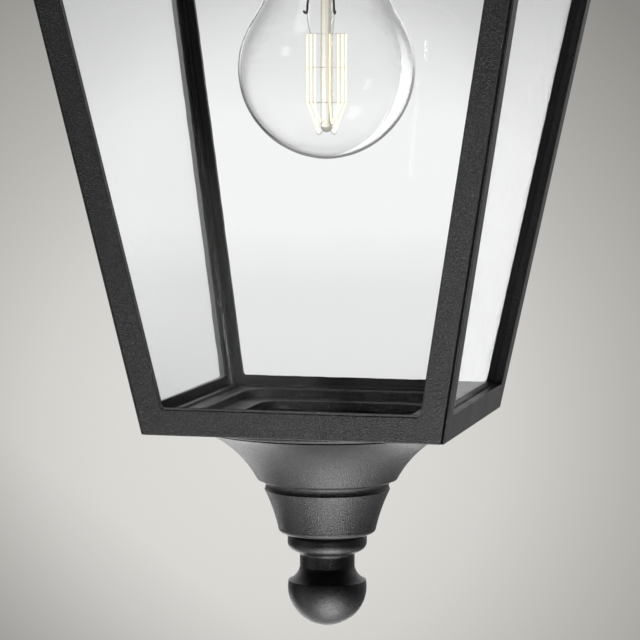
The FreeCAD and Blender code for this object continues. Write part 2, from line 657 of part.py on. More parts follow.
def make_collar():
    """Turned collar: threaded on the nipple below, socket for the arm above."""
    top_z = COLLAR_Z + COLLAR_H
    bead = COLLAR_R - COLLAR_WAIST_R
    low_z = COLLAR_Z + COLLAR_FLOOR
    bore = ARM_R + ARM_PLAY
    return turned([
        line(point(NIPPLE_R + THREAD_PLAY, COLLAR_Z), point(COLLAR_R, COLLAR_Z)),
        line(point(COLLAR_R, COLLAR_Z), point(COLLAR_R, low_z - bead)),
        bowed(point(COLLAR_R, low_z - bead), point(COLLAR_WAIST_R, low_z), -QUARTER_SAG * bead),
        line(point(COLLAR_WAIST_R, low_z), point(COLLAR_WAIST_R, top_z - 3 * bead)),
        bowed(point(COLLAR_WAIST_R, top_z - 3 * bead), point(COLLAR_R, top_z - 2 * bead),
              -QUARTER_SAG * bead),
        line(point(COLLAR_R, top_z - 2 * bead), point(COLLAR_R, top_z - bead)),
        line(point(COLLAR_R, top_z - bead), point(COLLAR_R - bead, top_z)),
        line(point(COLLAR_R - bead, top_z), point(bore, top_z)),
        line(point(bore, top_z), point(bore, low_z)),
        line(point(bore, low_z), point(NIPPLE_R + THREAD_PLAY, low_z)),
        line(point(NIPPLE_R + THREAD_PLAY, low_z), point(NIPPLE_R + THREAD_PLAY, COLLAR_Z)),
    ]).cut(rod(SMALL_R + THREAD_PLAY, collar_screw_seat(2), collar_screw_seat(-COLLAR_R)))


def collar_screw_seat(outwards):
    """Place of the collar's grub screw, beyond the waist by a distance."""
    height = COLLAR_Z + (COLLAR_FLOOR + COLLAR_H) / 2
    return Vector(0, COLLAR_WAIST_R + outwards, height)


def arm_path():
    """Centre line of the arm: up from the collar, over in a half circle, down and to the wall."""
    far = 2 * ARM_BEND
    foot = Vector(0, 0, ARM_Z)
    spring = Vector(0, 0, SPRING_Z)
    crown = Vector(0, ARM_BEND, SPRING_Z + ARM_BEND)
    fall = Vector(0, far, SPRING_Z)
    elbow = Vector(0, far, SPRING_Z - ARM_DROP)
    knee = Vector(0, far + ARM_ELBOW * QUARTER_SAG, SPRING_Z - ARM_DROP - ARM_ELBOW * SLANT)
    level = Vector(0, far + ARM_ELBOW, PLATE_Z)
    end = Vector(0, PROJECTION - PLATE_DEPTH + PLATE_WALL + ARM_NUT_H + ARM_END, PLATE_Z)
    return Part.Wire([line(foot, spring), arc(spring, crown, fall), line(fall, elbow),
                      arc(elbow, knee, level), line(level, end)])


def arm_sweep(radius):
    """Round section carried along the arm's centre line."""
    ring = Part.Wire(Part.Circle(Vector(0, 0, ARM_Z), UP, radius).toShape())
    return arm_path().makePipeShell([ring], True, True)


def wall_block(width, height, radius, back, front):
    """Upright block on the wall, centred on the wall plate, between two distances from the wall."""
    block = Part.makeBox(width, front - back, height, Vector(-width / 2, -front, -height / 2))
    edges = [edge for edge in block.Edges if edge.BoundBox.YLength > 1e-4]
    return block.makeFillet(radius, edges)


def wall_bar(radius, x, z, back, front):
    """Round bar square to the wall between two distances from it."""
    return Part.makeCylinder(radius, front - back, Vector(x, -back, z), Vector(0, -1, 0))


def make_plate():
    """Hollow wall plate: broad foot, raised body, posts for the wall screws, groove for the
    gasket, a hole for the arm and an earth boss."""
    step = 2 * PLATE_STEP
    wall = 2 * PLATE_WALL
    body = wall_block(PLATE_W - step, PLATE_H - step, PLATE_R, 0, PLATE_DEPTH)
    rim = [edge for edge in body.Edges if abs(edge.BoundBox.YMin + PLATE_DEPTH) < 1e-6
           and edge.BoundBox.YLength < 1e-6]
    body = body.makeFillet(PLATE_EDGE_R, rim)
    plate = body.fuse(wall_block(PLATE_W, PLATE_H, PLATE_R, 0, PLATE_FOOT_T)).removeSplitter()
    inner = PLATE_DEPTH - PLATE_WALL
    plate = plate.cut(wall_block(PLATE_W - step - wall, PLATE_H - step - wall,
                                 PLATE_R - PLATE_WALL, -1, inner))
    plate = plate.cut(gasket_ring(0, -1))
    for z in (-FIXING_SPACING / 2, FIXING_SPACING / 2):
        plate = plate.fuse(wall_bar(FIXING_POST_R, 0, z, 0, inner + 1))
        plate = plate.cut(wall_bar(FIXING_HOLE_R, 0, z, -1, PLATE_DEPTH + 1))
    plate = plate.fuse(wall_bar(EARTH_BOSS_R, EARTH_X, -EARTH_DROP, inner - EARTH_BOSS_H, inner + 1))
    plate = plate.cut(wall_bar(LARGE_R + THREAD_PLAY, EARTH_X, -EARTH_DROP, 0, inner))
    plate = plate.cut(wall_bar(ARM_R + ARM_PLAY, 0, 0, 0, PLATE_DEPTH + 1))
    return plate.removeSplitter()


def gasket_ring(play, back):
    """Ring that lies in the wall plate's foot, all round the cavity."""
    foot = PLATE_STEP + PLATE_WALL
    edge = (foot - GASKET_W) / 2 + play
    width = PLATE_W - 2 * edge
    height = PLATE_H - 2 * edge
    lap = 2 * (GASKET_W - 2 * play)
    ring = wall_block(width, height, PLATE_R - edge, back, GASKET_T - play)
    return ring.cut(wall_block(width - lap, height - lap, PLATE_R - edge - lap / 4, back - 1, PLATE_DEPTH))


def make_rosette():
    """Turned rosette on the wall plate round the arm."""
    bore = ARM_R + ARM_PLAY
    top_r = bore + ROSETTE_TOP_W
    ring = turned([
        line(point(bore, 0), point(ROSETTE_R, 0)),
        line(point(ROSETTE_R, 0), point(ROSETTE_R, ROSETTE_EDGE_H)),
        bowed(point(ROSETTE_R, ROSETTE_EDGE_H), point(top_r, ROSETTE_H), -ROSETTE_SAG),
        line(point(top_r, ROSETTE_H), point(bore, ROSETTE_H)),
        line(point(bore, ROSETTE_H), point(bore, 0)),
    ])
    ring.rotate(AXIS_END, Vector(1, 0, 0), 90)
    ring.translate(Vector(0, -PLATE_DEPTH, 0))
    return ring


def make_arm_nut():
    """Hexagon nut that locks the arm inside the wall plate."""
    ring = nut(ARM_NUT_FLAT, ARM_R + THREAD_PLAY, ARM_NUT_H, 0)
    ring.rotate(AXIS_END, Vector(1, 0, 0), 90)
    ring.translate(Vector(0, -(PLATE_DEPTH - PLATE_WALL - ARM_NUT_H), 0))
    return ring


def make_terminal():
    """Three-way terminal block inside the wall plate."""
    inner = PLATE_DEPTH - PLATE_WALL
    foot_z = -TERMINAL_DROP - TERMINAL_H / 2
    block = Part.makeBox(TERMINAL_W, TERMINAL_T, TERMINAL_H, Vector(-TERMINAL_W / 2, -inner, foot_z))
    slot_y = TERMINAL_T - inner - TERMINAL_SLOT_H
    for side in (-1, 1):
        slot_x = (side * TERMINAL_PITCH - TERMINAL_SLOT_W) / 2
        block = block.cut(Part.makeBox(TERMINAL_SLOT_W, TERMINAL_SLOT_H + 1, TERMINAL_H + 2,
                                       Vector(slot_x, slot_y, foot_z - 1)))
    return block


def terminal_screws():
    """Screw heads on the terminal block."""
    back = PLATE_DEPTH - PLATE_WALL - TERMINAL_T
    screws = []
    for column in (-1, 0, 1):
        for row in (-1, 1):
            z = -TERMINAL_DROP + row * TERMINAL_H / 4
            screws.append(wall_bar(TERMINAL_SCREW_R, column * TERMINAL_PITCH, z,
                                   back - TERMINAL_SCREW_H, back))
    return screws


def bulb_outline(inset):
    """Half outline of the bulb's glass from the crown to its open end."""
    crown = point(0, BULB_Z + inset)
    belly = point(BULB_R - inset, BULB_Z + BULB_MID_H)
    flank = point((BULB_R - inset) * math.sin(math.radians(48)),
                  BULB_Z + BULB_MID_H - (BULB_MID_H - inset) * math.cos(math.radians(48)))
    shoulder = point(BULB_SHOULDER_R - inset, BULB_Z + BULB_SHOULDER_H)
    neck = point(BULB_NECK_R - inset, BULB_Z + BULB_NECK_H)
    lap = point(CAP_R - CAP_WALL - HOLDER_PLAY - inset, BULB_CAP_Z)
    end = point(CAP_R - CAP_WALL - HOLDER_PLAY - inset, GLASS_END_Z)
    upper = eased([belly, shoulder, neck, lap], UP, UP)
    return [arc(crown, flank, belly), upper, line(lap, end)], crown, end


def make_envelope():
    """Blown glass of the bulb, open into its cap."""
    outside, crown, end = bulb_outline(0)
    inside, inner_crown, inner_end = bulb_outline(BULB_GLASS_T)
    return turned(outside + inside + [line(crown, inner_crown), line(end, inner_end)])


def make_bulb_cap():
    """Screw cap of the bulb, a thin shell over the glass."""
    top_z = BULB_CAP_Z + CAP_H
    shoulder_z = top_z - CAP_SHOULDER
    inner = CAP_R - CAP_WALL
    return turned_lines([point(inner, BULB_CAP_Z), point(CAP_R, BULB_CAP_Z), point(CAP_R, shoulder_z),
                         point(CAP_R - CAP_SHOULDER, top_z), point(TIP_HOLE_R, top_z),
                         point(TIP_HOLE_R, top_z - CAP_WALL),
                         point(inner - CAP_SHOULDER, top_z - CAP_WALL), point(inner, shoulder_z)])


def make_bulb_tip():
    """Insulator and contact at the end of the bulb's cap."""
    top_z = BULB_CAP_Z + CAP_H
    plug = TIP_HOLE_R - THREAD_PLAY
    return turned_lines([point(0, top_z - CAP_WALL), point(plug, top_z - CAP_WALL), point(plug, top_z),
                         point(TIP_FOOT_R, top_z), point(TIP_R, TIP_Z - TIP_BEVEL),
                         point(TIP_R - TIP_BEVEL, TIP_Z), point(0, TIP_Z)])


def make_stem():
    """Glass stem inside the bulb: flared foot sealed to the glass, flat press and a slim rod."""
    foot_z = GLASS_END_Z - STEM_SEAL_DROP
    seal_z = foot_z - STEM_SEAL_H
    flare_r = CAP_R - CAP_WALL - HOLDER_PLAY - BULB_GLASS_T - THREAD_PLAY
    press_z = foot_z - STEM_FOOT_H
    rod_z = foot_z - STEM_PRESS_H
    tip_z = BULB_Z + STEM_TIP_H
    return turned([
        line(point(0, foot_z), point(flare_r, foot_z)),
        line(point(flare_r, foot_z), point(flare_r, seal_z)),
        bowed(point(flare_r, seal_z), point(STEM_PRESS_R, press_z), -STEM_FLARE_SAG),
        line(point(STEM_PRESS_R, press_z), point(STEM_PRESS_R, rod_z + STEM_PRESS_R)),
        bowed(point(STEM_PRESS_R, rod_z + STEM_PRESS_R), point(STEM_R, rod_z), -STEM_PRESS_SAG),
        line(point(STEM_R, rod_z), point(STEM_R, tip_z + STEM_R)),
        bowed(point(STEM_R, tip_z + STEM_R), point(0, tip_z), QUARTER_SAG * STEM_R),
        line(point(0, tip_z), point(0, foot_z)),
    ])


def cage_point(index, radius, height):
    """Place on the filament cage beside a strand."""
    turn = 2 * math.pi * (index + 0.5) / STRANDS
    return Vector(radius * math.cos(turn), radius * math.sin(turn), BULB_Z + height)


def bent_wire(radius, points):
    """Round wire along straight runs, mitred where it turns."""
    path = Part.Wire([line(a, b) for a, b in zip(points, points[1:])])
    ring = Part.Wire(Part.Circle(points[0], points[1] - points[0], radius).toShape())
    return path.makePipeShell([ring], True, True, 1)


def make_filament():
    """Upright strands of the filament, drawn in at the foot of the cage."""
    return [bent_wire(FILAMENT_R, [cage_point(i, CAGE_R, CAGE_TOP_H),
                                   cage_point(i, CAGE_R, CAGE_BEND_H),
                                   cage_point(i, CAGE_FOOT_R, CAGE_FOOT_H)])
            for i in range(STRANDS)]


def make_supports():
    """Fine wires from the stem out to the strands, at the top, middle and foot of the cage."""
    wires = []
    for i in range(STRANDS):
        for radius, height in ((CAGE_R, CAGE_TOP_H + SUPPORT_R), (CAGE_FOOT_R, CAGE_FOOT_H - SUPPORT_R)):
            wires.append(rod(SUPPORT_R, cage_point(i, STEM_R, height), cage_point(i, radius, height)))
        if i % 2 == 0:
            reach = CAGE_R - FILAMENT_R
            wires.append(rod(SUPPORT_R, cage_point(i, STEM_R, CAGE_MID_H),
                             cage_point(i, reach, CAGE_MID_H)))
    return wires


def make_leads():
    """Two lead wires from the press down to the first and last strands."""
    wires = []
    top = GLASS_END_Z - STEM_FOOT_H - LEAD_DROP - BULB_Z
    for index in (STRANDS // 4, STRANDS - 1 - STRANDS // 4):
        foot = cage_point(index, CAGE_R, CAGE_TOP_H + 2 * SUPPORT_R + LEAD_R)
        head = cage_point(index, STEM_PRESS_R + LEAD_R, top)
        wires.append(rod(LEAD_R, head, foot))
    return wires


def make_holder_shell():
    """Threaded metal shell that takes the bulb's cap."""
    bore = CAP_R + HOLDER_PLAY
    return drum(bore + HOLDER_SHELL_T, HOLDER_Z, BULB_CAP_Z + CAP_H).cut(
        drum(bore, 0, TIP_Z))


def make_holder_body():
    """Insulating body of the lampholder, round the shell."""
    bore = CAP_R + HOLDER_PLAY + HOLDER_SHELL_T + THREAD_PLAY
    body = drum(HOLDER_R, HOLDER_Z, HOLDER_CAP_Z).cut(drum(bore, 0, HOLDER_TOP_Z))
    groove_z = HOLDER_Z + HOLDER_FLOOR
    groove = drum(HOLDER_R + 1, groove_z, groove_z + HOLDER_GROOVE_W)
    return body.cut(groove.cut(drum(HOLDER_R - HOLDER_GROOVE_T, 0, HOLDER_CAP_Z)))


def make_contact():
    """Sprung centre contact between the holder's floor and the bulb's tip."""
    return drum(CONTACT_R, TIP_Z, HOLDER_TOP_Z)


def make_holder_cap():
    """Domed cap of the lampholder, threaded on the nipple."""
    side_z = HOLDER_CAP_Z + HOLDER_CAP_SIDE
    grip_z = HOLDER_END_Z - HOLDER_GRIP
    return turned([
        line(point(0, HOLDER_CAP_Z), point(HOLDER_R, HOLDER_CAP_Z)),
        line(point(HOLDER_R, HOLDER_CAP_Z), point(HOLDER_R, side_z)),
        bowed(point(HOLDER_R, side_z), point(HOLDER_CAP_TOP_R, HOLDER_END_Z), -HOLDER_CAP_SAG),
        line(point(HOLDER_CAP_TOP_R, HOLDER_END_Z), point(NIPPLE_R + THREAD_PLAY, HOLDER_END_Z)),
        line(point(NIPPLE_R + THREAD_PLAY, HOLDER_END_Z), point(NIPPLE_R + THREAD_PLAY, grip_z)),
        line(point(NIPPLE_R + THREAD_PLAY, grip_z), point(0, grip_z)),
        line(point(0, grip_z), point(0, HOLDER_CAP_Z)),
    ])


def save(node, shapes, hang=True):
    """Write one node. Pieces of the lantern are hung at their distance from the wall plate."""
    solids = shapes if isinstance(shapes, list) else [shapes]
    body = solids[0].copy() if len(solids) == 1 else Part.makeCompound(solids)
    if hang:
        body.translate(Vector(0, -PROJECTION, -PLATE_Z))
    body.exportStep("parts/" + node + ".step")


def main():
    """Build every piece of the lantern and write it out."""
    os.makedirs("parts", exist_ok=True)
    frame = make_frame()
    glass = make_glass()
    for turns, side in enumerate(("front", "right", "rear", "left")):
        save("frame_" + side, quarter(frame, turns))
        save("glass_" + side, quarter(glass, turns))
    save("glass_seals", on_each_side([make_seal()]))
    save("base_tray", make_tray())
    save("base_cup", make_cup())
    save("finial", make_finial())
    save("finial_stud", drum(STUD_R, -CUP_H - STUD_REACH, CUP_WALL - CUP_H + NUT_H + STUD_END))
    save("finial_nut", nut(NUT_FLAT, STUD_R + THREAD_PLAY, NUT_H, CUP_WALL - CUP_H))
    save("head_frame", make_head_frame())
    save("roof", make_roof())
    save("roof_neck", make_neck())
    save("roof_cap", make_cap())
    save("nipple", make_nipple())
    save("nipple_nuts", [
        nut(NIPPLE_NUT_FLAT, NIPPLE_R + THREAD_PLAY, NIPPLE_NUT_H, ROOF_Z - ROOF_T - NIPPLE_NUT_H),
        nut(NIPPLE_NUT_FLAT, NIPPLE_R + THREAD_PLAY, NIPPLE_NUT_H, HOLDER_END_Z)])
    save("arm_collar", make_collar())
    save("arm", arm_sweep(ARM_R).cut(arm_sweep(ARM_BORE_R)))
    save("collar_screw", rod(SMALL_R, collar_screw_seat(0.5),
                             collar_screw_seat(ARM_R + ARM_PLAY / 2 - COLLAR_WAIST_R)))
    save("wall_plate", make_plate(), hang=False)
    save("wall_gasket", gasket_ring(GASKET_PLAY, 0), hang=False)
    save("arm_rosette", make_rosette(), hang=False)
    save("arm_nut", make_arm_nut(), hang=False)
    save("terminal_block", make_terminal(), hang=False)
    save("terminal_screws", terminal_screws(), hang=False)
    earth_back = PLATE_DEPTH - PLATE_WALL - EARTH_BOSS_H
    save("earth_screw", screw(Vector(EARTH_X, -earth_back, -EARTH_DROP), Vector(0, -1, 0),
                              LARGE_R, EARTH_BOSS_H, LARGE_HEAD_R, LARGE_HEAD_H), hang=False)
    save("foot_screws", on_each_side(
        [flat_screw(place, UP, SMALL_R, FLANGE_T + TRAY_T - FOOT_SCREW_END, SMALL_HEAD_R)
         for place in foot_screw_points(0)]))
    save("head_screws", on_each_side(
        [screw(place, UP * -1, SMALL_R, HEAD_T + FLANGE_T, SMALL_HEAD_R, SMALL_HEAD_H)
         for place in head_screw_points(BODY_H + HEAD_T)]))
    save("skirt_screws", on_each_side(
        [screw(place, Vector(0, 1, 0), LARGE_R, SKIRT_T + SKIRT_PLAY + HEAD_RIM_T,
               LARGE_HEAD_R, LARGE_HEAD_H) for place in skirt_screw_points(SKIRT_HALF)]))
    save("cup_screws", on_each_side(
        [flat_screw(cup_screw_point(FLANGE_T), UP * -1, LARGE_R, FLANGE_T + CUP_SCREW_GRIP - SCREW_PLAY,
                    LARGE_HEAD_R)]))
    save("bulb_envelope", make_envelope())
    save("bulb_cap", make_bulb_cap())
    save("bulb_tip", make_bulb_tip())
    save("bulb_stem", make_stem())
    save("bulb_filament", make_filament())
    save("bulb_supports", make_supports())
    save("bulb_leads", make_leads())
    save("lampholder_shell", make_holder_shell())
    save("lampholder_body", make_holder_body())
    save("lampholder_contact", make_contact())
    save("lampholder_cap", make_holder_cap())


main()
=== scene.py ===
"""Dresses a tapered wall lantern: fine pieces, finishes, studio and camera. Metres."""
import json
import logging
import math
from dataclasses import dataclass, field
from enum import Enum
from typing import Sequence

import bpy
from mathutils import Euler, Matrix, Vector

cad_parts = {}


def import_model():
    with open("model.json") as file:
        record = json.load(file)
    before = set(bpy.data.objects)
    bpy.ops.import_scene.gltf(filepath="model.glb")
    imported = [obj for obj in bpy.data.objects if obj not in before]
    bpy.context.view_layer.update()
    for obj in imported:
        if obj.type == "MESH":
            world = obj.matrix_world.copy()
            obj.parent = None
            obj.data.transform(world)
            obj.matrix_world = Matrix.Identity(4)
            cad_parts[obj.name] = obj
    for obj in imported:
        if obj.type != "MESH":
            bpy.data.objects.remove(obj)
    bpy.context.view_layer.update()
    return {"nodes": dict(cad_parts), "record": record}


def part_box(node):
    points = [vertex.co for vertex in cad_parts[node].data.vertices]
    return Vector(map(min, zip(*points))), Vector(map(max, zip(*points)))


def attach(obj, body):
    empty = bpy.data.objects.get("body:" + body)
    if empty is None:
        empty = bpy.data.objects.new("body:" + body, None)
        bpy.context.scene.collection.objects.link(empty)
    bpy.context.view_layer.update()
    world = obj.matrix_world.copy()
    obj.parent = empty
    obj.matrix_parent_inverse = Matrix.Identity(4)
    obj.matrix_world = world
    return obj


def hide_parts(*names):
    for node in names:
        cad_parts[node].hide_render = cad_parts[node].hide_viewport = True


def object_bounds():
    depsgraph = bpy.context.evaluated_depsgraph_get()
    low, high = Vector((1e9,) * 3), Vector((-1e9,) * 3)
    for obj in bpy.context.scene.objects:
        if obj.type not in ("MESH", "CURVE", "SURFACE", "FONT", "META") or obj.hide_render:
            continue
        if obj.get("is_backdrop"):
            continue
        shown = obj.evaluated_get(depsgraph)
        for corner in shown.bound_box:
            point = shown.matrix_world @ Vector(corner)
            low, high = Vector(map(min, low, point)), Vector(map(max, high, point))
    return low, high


LOG = logging.getLogger("lantern")
MM = 0.001
PHOTO_SIZE = 640
BODY = "root"
# The lantern's upright axis stands this far in front of the wall.
AXIS_Y = -0.142
UP = Vector((0.0, 0.0, 1.0))
OUT = Vector((0.0, -1.0, 0.0))

Socket = bpy.types.NodeSocket
Piece = bpy.types.Object
Colour = tuple[float, float, float, float]
Stop = tuple[float, Colour]
Point = tuple[float, float, float]
Pair = tuple[float, float]
Spot = tuple[Vector, Vector]


class Slot(Enum):
    """Material slots of the lantern's record."""

    BODY_PAINT = "body_paint"
    SCREW_BLACK = "screw_black"
    STEEL = "steel"
    BRASS = "brass"
    PANE_GLASS = "pane_glass"
    BULB_GLASS = "bulb_glass"
    SEAL_RUBBER = "seal_rubber"
    LAMPHOLDER_BLACK = "lampholder_black"
    INSULATOR = "insulator"
    FILAMENT_WIRE = "filament_wire"
    FINE_WIRE = "fine_wire"
    TERMINAL_PLASTIC = "terminal_plastic"


class Recess(Enum):
    """Drive cut into a screw's head."""

    CROSS = "cross"
    SLOT = "slot"


def grey(level: float) -> Colour:
    """A neutral colour of that linear level."""
    return (level, level, level, 1.0)


def millimetres(*pairs: Pair) -> tuple[Pair, ...]:
    """Pairs of lengths given in millimetres, in metres."""
    return tuple((first * MM, second * MM) for first, second in pairs)


def corners(node: str) -> tuple[Vector, Vector]:
    """Lowest and highest corner of a CAD node."""
    low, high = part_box(node)
    return Vector(low), Vector(high)


@dataclass(frozen=True)
class Slope:
    """A stretch of values and what its two ends become. Past an end, that end's result stays."""

    start: float
    end: float
    at_start: float = 0.0
    at_end: float = 1.0


class Sheet:
    """One node tree, with short calls that fill it."""

    def __init__(self, tree: bpy.types.NodeTree) -> None:
        """Takes a tree and empties it."""
        self.tree = tree
        tree.nodes.clear()

    @classmethod
    def of_material(cls, name: str) -> tuple["Sheet", bpy.types.Material]:
        """Starts a material with an empty tree.

        Args:
            name: Name of the material.

        Returns:
            The sheet and its material.
        """
        material = bpy.data.materials.new(name)
        material.use_nodes = True
        return cls(material.node_tree), material

    def add(self, kind: str, inputs: dict | None = None, **settings: object) -> bpy.types.Node:
        """Adds a node.

        Args:
            kind: Type of the node.
            inputs: Value or linked socket for each named or numbered input.
            settings: Properties of the node.

        Returns:
            The new node.
        """
        node = self.tree.nodes.new(kind)
        for key, value in settings.items():
            setattr(node, key, value)
        for key, value in (inputs or {}).items():
            if isinstance(value, Socket):
                self.tree.links.new(value, node.inputs[key])
            else:
                node.inputs[key].default_value = value
        return node

    def place(self) -> Socket:
        """Object coordinates."""
        return self.add("ShaderNodeTexCoord").outputs["Object"]

    def effect(self, group: bpy.types.NodeTree, place: Socket, **values: float) -> bpy.types.Node:
        """Places a shared effect.

        Args:
            group: The effect's node group.
            place: Coordinates that it reads.
            values: Its own values by name.

        Returns:
            The group node.
        """
        node = self.add("ShaderNodeGroup", node_tree=group)
        self.tree.links.new(place, node.inputs["Place"])
        for name, value in values.items():
            node.inputs[name].default_value = value
        return node

    def noise(self, place: Socket, scale: Socket, **values: float) -> Socket:
        """Noise of that scale, with its other values by name."""
        return self.add("ShaderNodeTexNoise", {"Vector": place, "Scale": scale, **values}).outputs[0]

    def math(self, operation: str, *values: object) -> Socket:
        """Result of a Math node on those values."""
        return self.add("ShaderNodeMath", dict(enumerate(values)), operation=operation).outputs[0]

    def product(self, first: object, *others: object) -> Socket:
        """All those values multiplied.

        Args:
            first: Value or socket.
            others: What it is multiplied by.

        Returns:
            The product's socket.
        """
        for other in others:
            first = self.math("MULTIPLY", first, other)
        return first

    def along(self, way: Socket, axis: Vector) -> Socket:
        """How far a direction goes along an axis."""
        node = self.add("ShaderNodeVectorMath", {0: way, 1: axis}, operation="DOT_PRODUCT")
        return node.outputs["Value"]

    def spread(self, value: Socket, slope: Slope) -> Socket:
        """A value's result on a slope."""
        ends = {1: slope.start, 2: slope.end, 3: slope.at_start, 4: slope.at_end}
        return self.add("ShaderNodeMapRange", {0: value, **ends}).outputs[0]

    def blend(self, factor: object, first: object, second: object) -> Socket:
        """Colour between two colours: the first at factor 0, the second at 1."""
        return self.add("ShaderNodeMix", {0: factor, 6: first, 7: second}, data_type="RGBA").outputs[2]

    def mix(self, factor: Socket, first: bpy.types.Node, second: bpy.types.Node) -> Socket:
        """Shader between two shader nodes: the first at factor 0, the second at 1."""
        inputs = {0: factor, 1: first.outputs[0], 2: second.outputs[0]}
        return self.add("ShaderNodeMixShader", inputs).outputs[0]

    def finish(self, shader: Socket) -> None:
        """Links a shader to the material's or world's output."""
        kind = "ShaderNodeOutputWorld" if self.is_world() else "ShaderNodeOutputMaterial"
        self.add(kind, {"Surface": shader})

    def is_world(self) -> bool:
        """True on a world's tree."""
        return any(world.node_tree == self.tree for world in bpy.data.worlds)


class SharedEffects:
    """Node groups that more than one finish uses, each built once."""

    LUMP_SCALE: float = 0.45
    GRAIN_SHARE: float = 0.82
    LUMP_SHARE: float = 0.18
    PEAKS: Slope = Slope(0.48, 0.64)
    CLOUDS: Slope = Slope(0.3, 0.7)

    def __init__(self) -> None:
        """Builds the groups."""
        self.pebble = self._pebble()
        self.drift = self._drift()

    @staticmethod
    def _start(name: str, value: str, outputs: Sequence[str]) -> tuple[Sheet, bpy.types.NodeTree]:
        """Starts a group that reads a place and a value.

        Args:
            name: Name of the group.
            value: Name of its value.
            outputs: Names of what it puts out.

        Returns:
            The group's sheet and tree.
        """
        tree = bpy.data.node_groups.new(name, "ShaderNodeTree")
        tree.interface.new_socket("Place", in_out="INPUT", socket_type="NodeSocketVector")
        tree.interface.new_socket(value, in_out="INPUT", socket_type="NodeSocketFloat")
        for output in outputs:
            tree.interface.new_socket(output, in_out="OUTPUT", socket_type="NodeSocketFloat")
        return Sheet(tree), tree

    def _pebble(self) -> bpy.types.NodeTree:
        """Fine rounded grains, as on textured paint or a moulding.

        Returns:
            The group: Height for a bump, Peaks as a mask of the grains' tops.
        """
        sheet, tree = self._start("pebble", "Grains", ["Height", "Peaks"])
        entry = sheet.add("NodeGroupInput").outputs
        coarse = sheet.product(entry["Grains"], self.LUMP_SCALE)
        grains = sheet.noise(entry["Place"], entry["Grains"], Detail=2.0, Roughness=0.55)
        lumps = sheet.noise(entry["Place"], coarse, Detail=1.0)
        height = sheet.math("ADD", sheet.product(grains, self.GRAIN_SHARE),
                            sheet.product(lumps, self.LUMP_SHARE))
        sheet.add("NodeGroupOutput", {"Height": height, "Peaks": sheet.spread(height, self.PEAKS)})
        return tree

    def _drift(self) -> bpy.types.NodeTree:
        """Slow clouds that keep a finish from looking the same all over.

        Returns:
            The group: Cloud from 0 to 1.
        """
        sheet, tree = self._start("drift", "Clouds", ["Cloud"])
        entry = sheet.add("NodeGroupInput").outputs
        noise = sheet.noise(entry["Place"], entry["Clouds"], Detail=4.0, Roughness=0.6)
        sheet.add("NodeGroupOutput", {"Cloud": sheet.spread(noise, self.CLOUDS)})
        return tree


@dataclass(frozen=True)
class Grained:
    """A finish with fine grains in relief and slow changes of tone: paint, rubber, mouldings, metals."""

    name: str
    colour: Colour
    peak_colour: Colour
    roughness: Pair
    grains: float
    relief: float
    metallic: float = 0.0
    clouds: float = 60.0
    peak_fade: Slope = Slope(0.0, 1.0, 0.85, 1.0)

    def material(self, effects: SharedEffects) -> bpy.types.Material:
        """Builds the finish.

        Args:
            effects: The shared node groups.

        Returns:
            The material.
        """
        sheet, material = Sheet.of_material(self.name)
        place = sheet.place()
        pebble = sheet.effect(effects.pebble, place, Grains=self.grains).outputs
        cloud = sheet.effect(effects.drift, place, Clouds=self.clouds).outputs["Cloud"]
        share = sheet.product(pebble["Peaks"], sheet.spread(cloud, self.peak_fade))
        bump = sheet.add("ShaderNodeBump", {"Height": pebble["Height"], "Distance": self.relief})
        shader = sheet.add("ShaderNodeBsdfPrincipled", {
            "Base Color": sheet.blend(share, self.colour, self.peak_colour),
            "Roughness": sheet.spread(cloud, Slope(0.0, 1.0, *self.roughness)),
            "Metallic": self.metallic, "Normal": bump.outputs[0]})
        sheet.finish(shader.outputs[0])
        return material


@dataclass(frozen=True)
class ClearGlass:
    """Clear glass that lets light through, with faint waves in its surface."""

    name: str
    tint: Colour
    waves: float = 18.0
    wave_height: float = 0.02 * MM
    ior: float = 1.5

    def material(self, effects: SharedEffects) -> bpy.types.Material:
        """Builds the glass.

        Args:
            effects: The shared node groups.

        Returns:
            The material.
        """
        sheet, material = Sheet.of_material(self.name)
        cloud = sheet.effect(effects.drift, sheet.place(), Clouds=self.waves).outputs["Cloud"]
        bump = sheet.add("ShaderNodeBump", {"Height": cloud, "Distance": self.wave_height})
        glass = sheet.add("ShaderNodeBsdfPrincipled", {
            "Base Color": self.tint, "Roughness": 0.0, "IOR": self.ior, "Transmission Weight": 1.0,
            "Normal": bump.outputs[0]})
        clear = sheet.add("ShaderNodeBsdfTransparent", {"Color": self.tint})
        shadow = sheet.add("ShaderNodeLightPath").outputs["Is Shadow Ray"]
        sheet.finish(sheet.mix(shadow, glass, clear))
        return material


@dataclass(frozen=True)
class GlowingWire:
    """Hot filament: a warm core that is brighter in places. Mirrors don't show it."""

    name: str
    cool: Colour
    hot: Colour
    strength: float
    beads: float = 900.0
    roughness: float = 0.5

    def material(self, effects: SharedEffects) -> bpy.types.Material:
        """Builds the glow.

        Args:
            effects: The shared node groups.

        Returns:
            The material.
        """
        sheet, material = Sheet.of_material(self.name)
        pebble = sheet.effect(effects.pebble, sheet.place(), Grains=self.beads)
        colour = sheet.blend(pebble.outputs["Height"], self.cool, self.hot)
        shader = sheet.add("ShaderNodeBsdfPrincipled", {
            "Base Color": colour, "Roughness": self.roughness, "Emission Color": colour,
            "Emission Strength": self.strength})
        clear = sheet.add("ShaderNodeBsdfTransparent")
        bounces = sheet.add("ShaderNodeLightPath").outputs["Glossy Depth"]
        sheet.finish(sheet.mix(sheet.math("MINIMUM", bounces, 1.0), shader, clear))
        return material


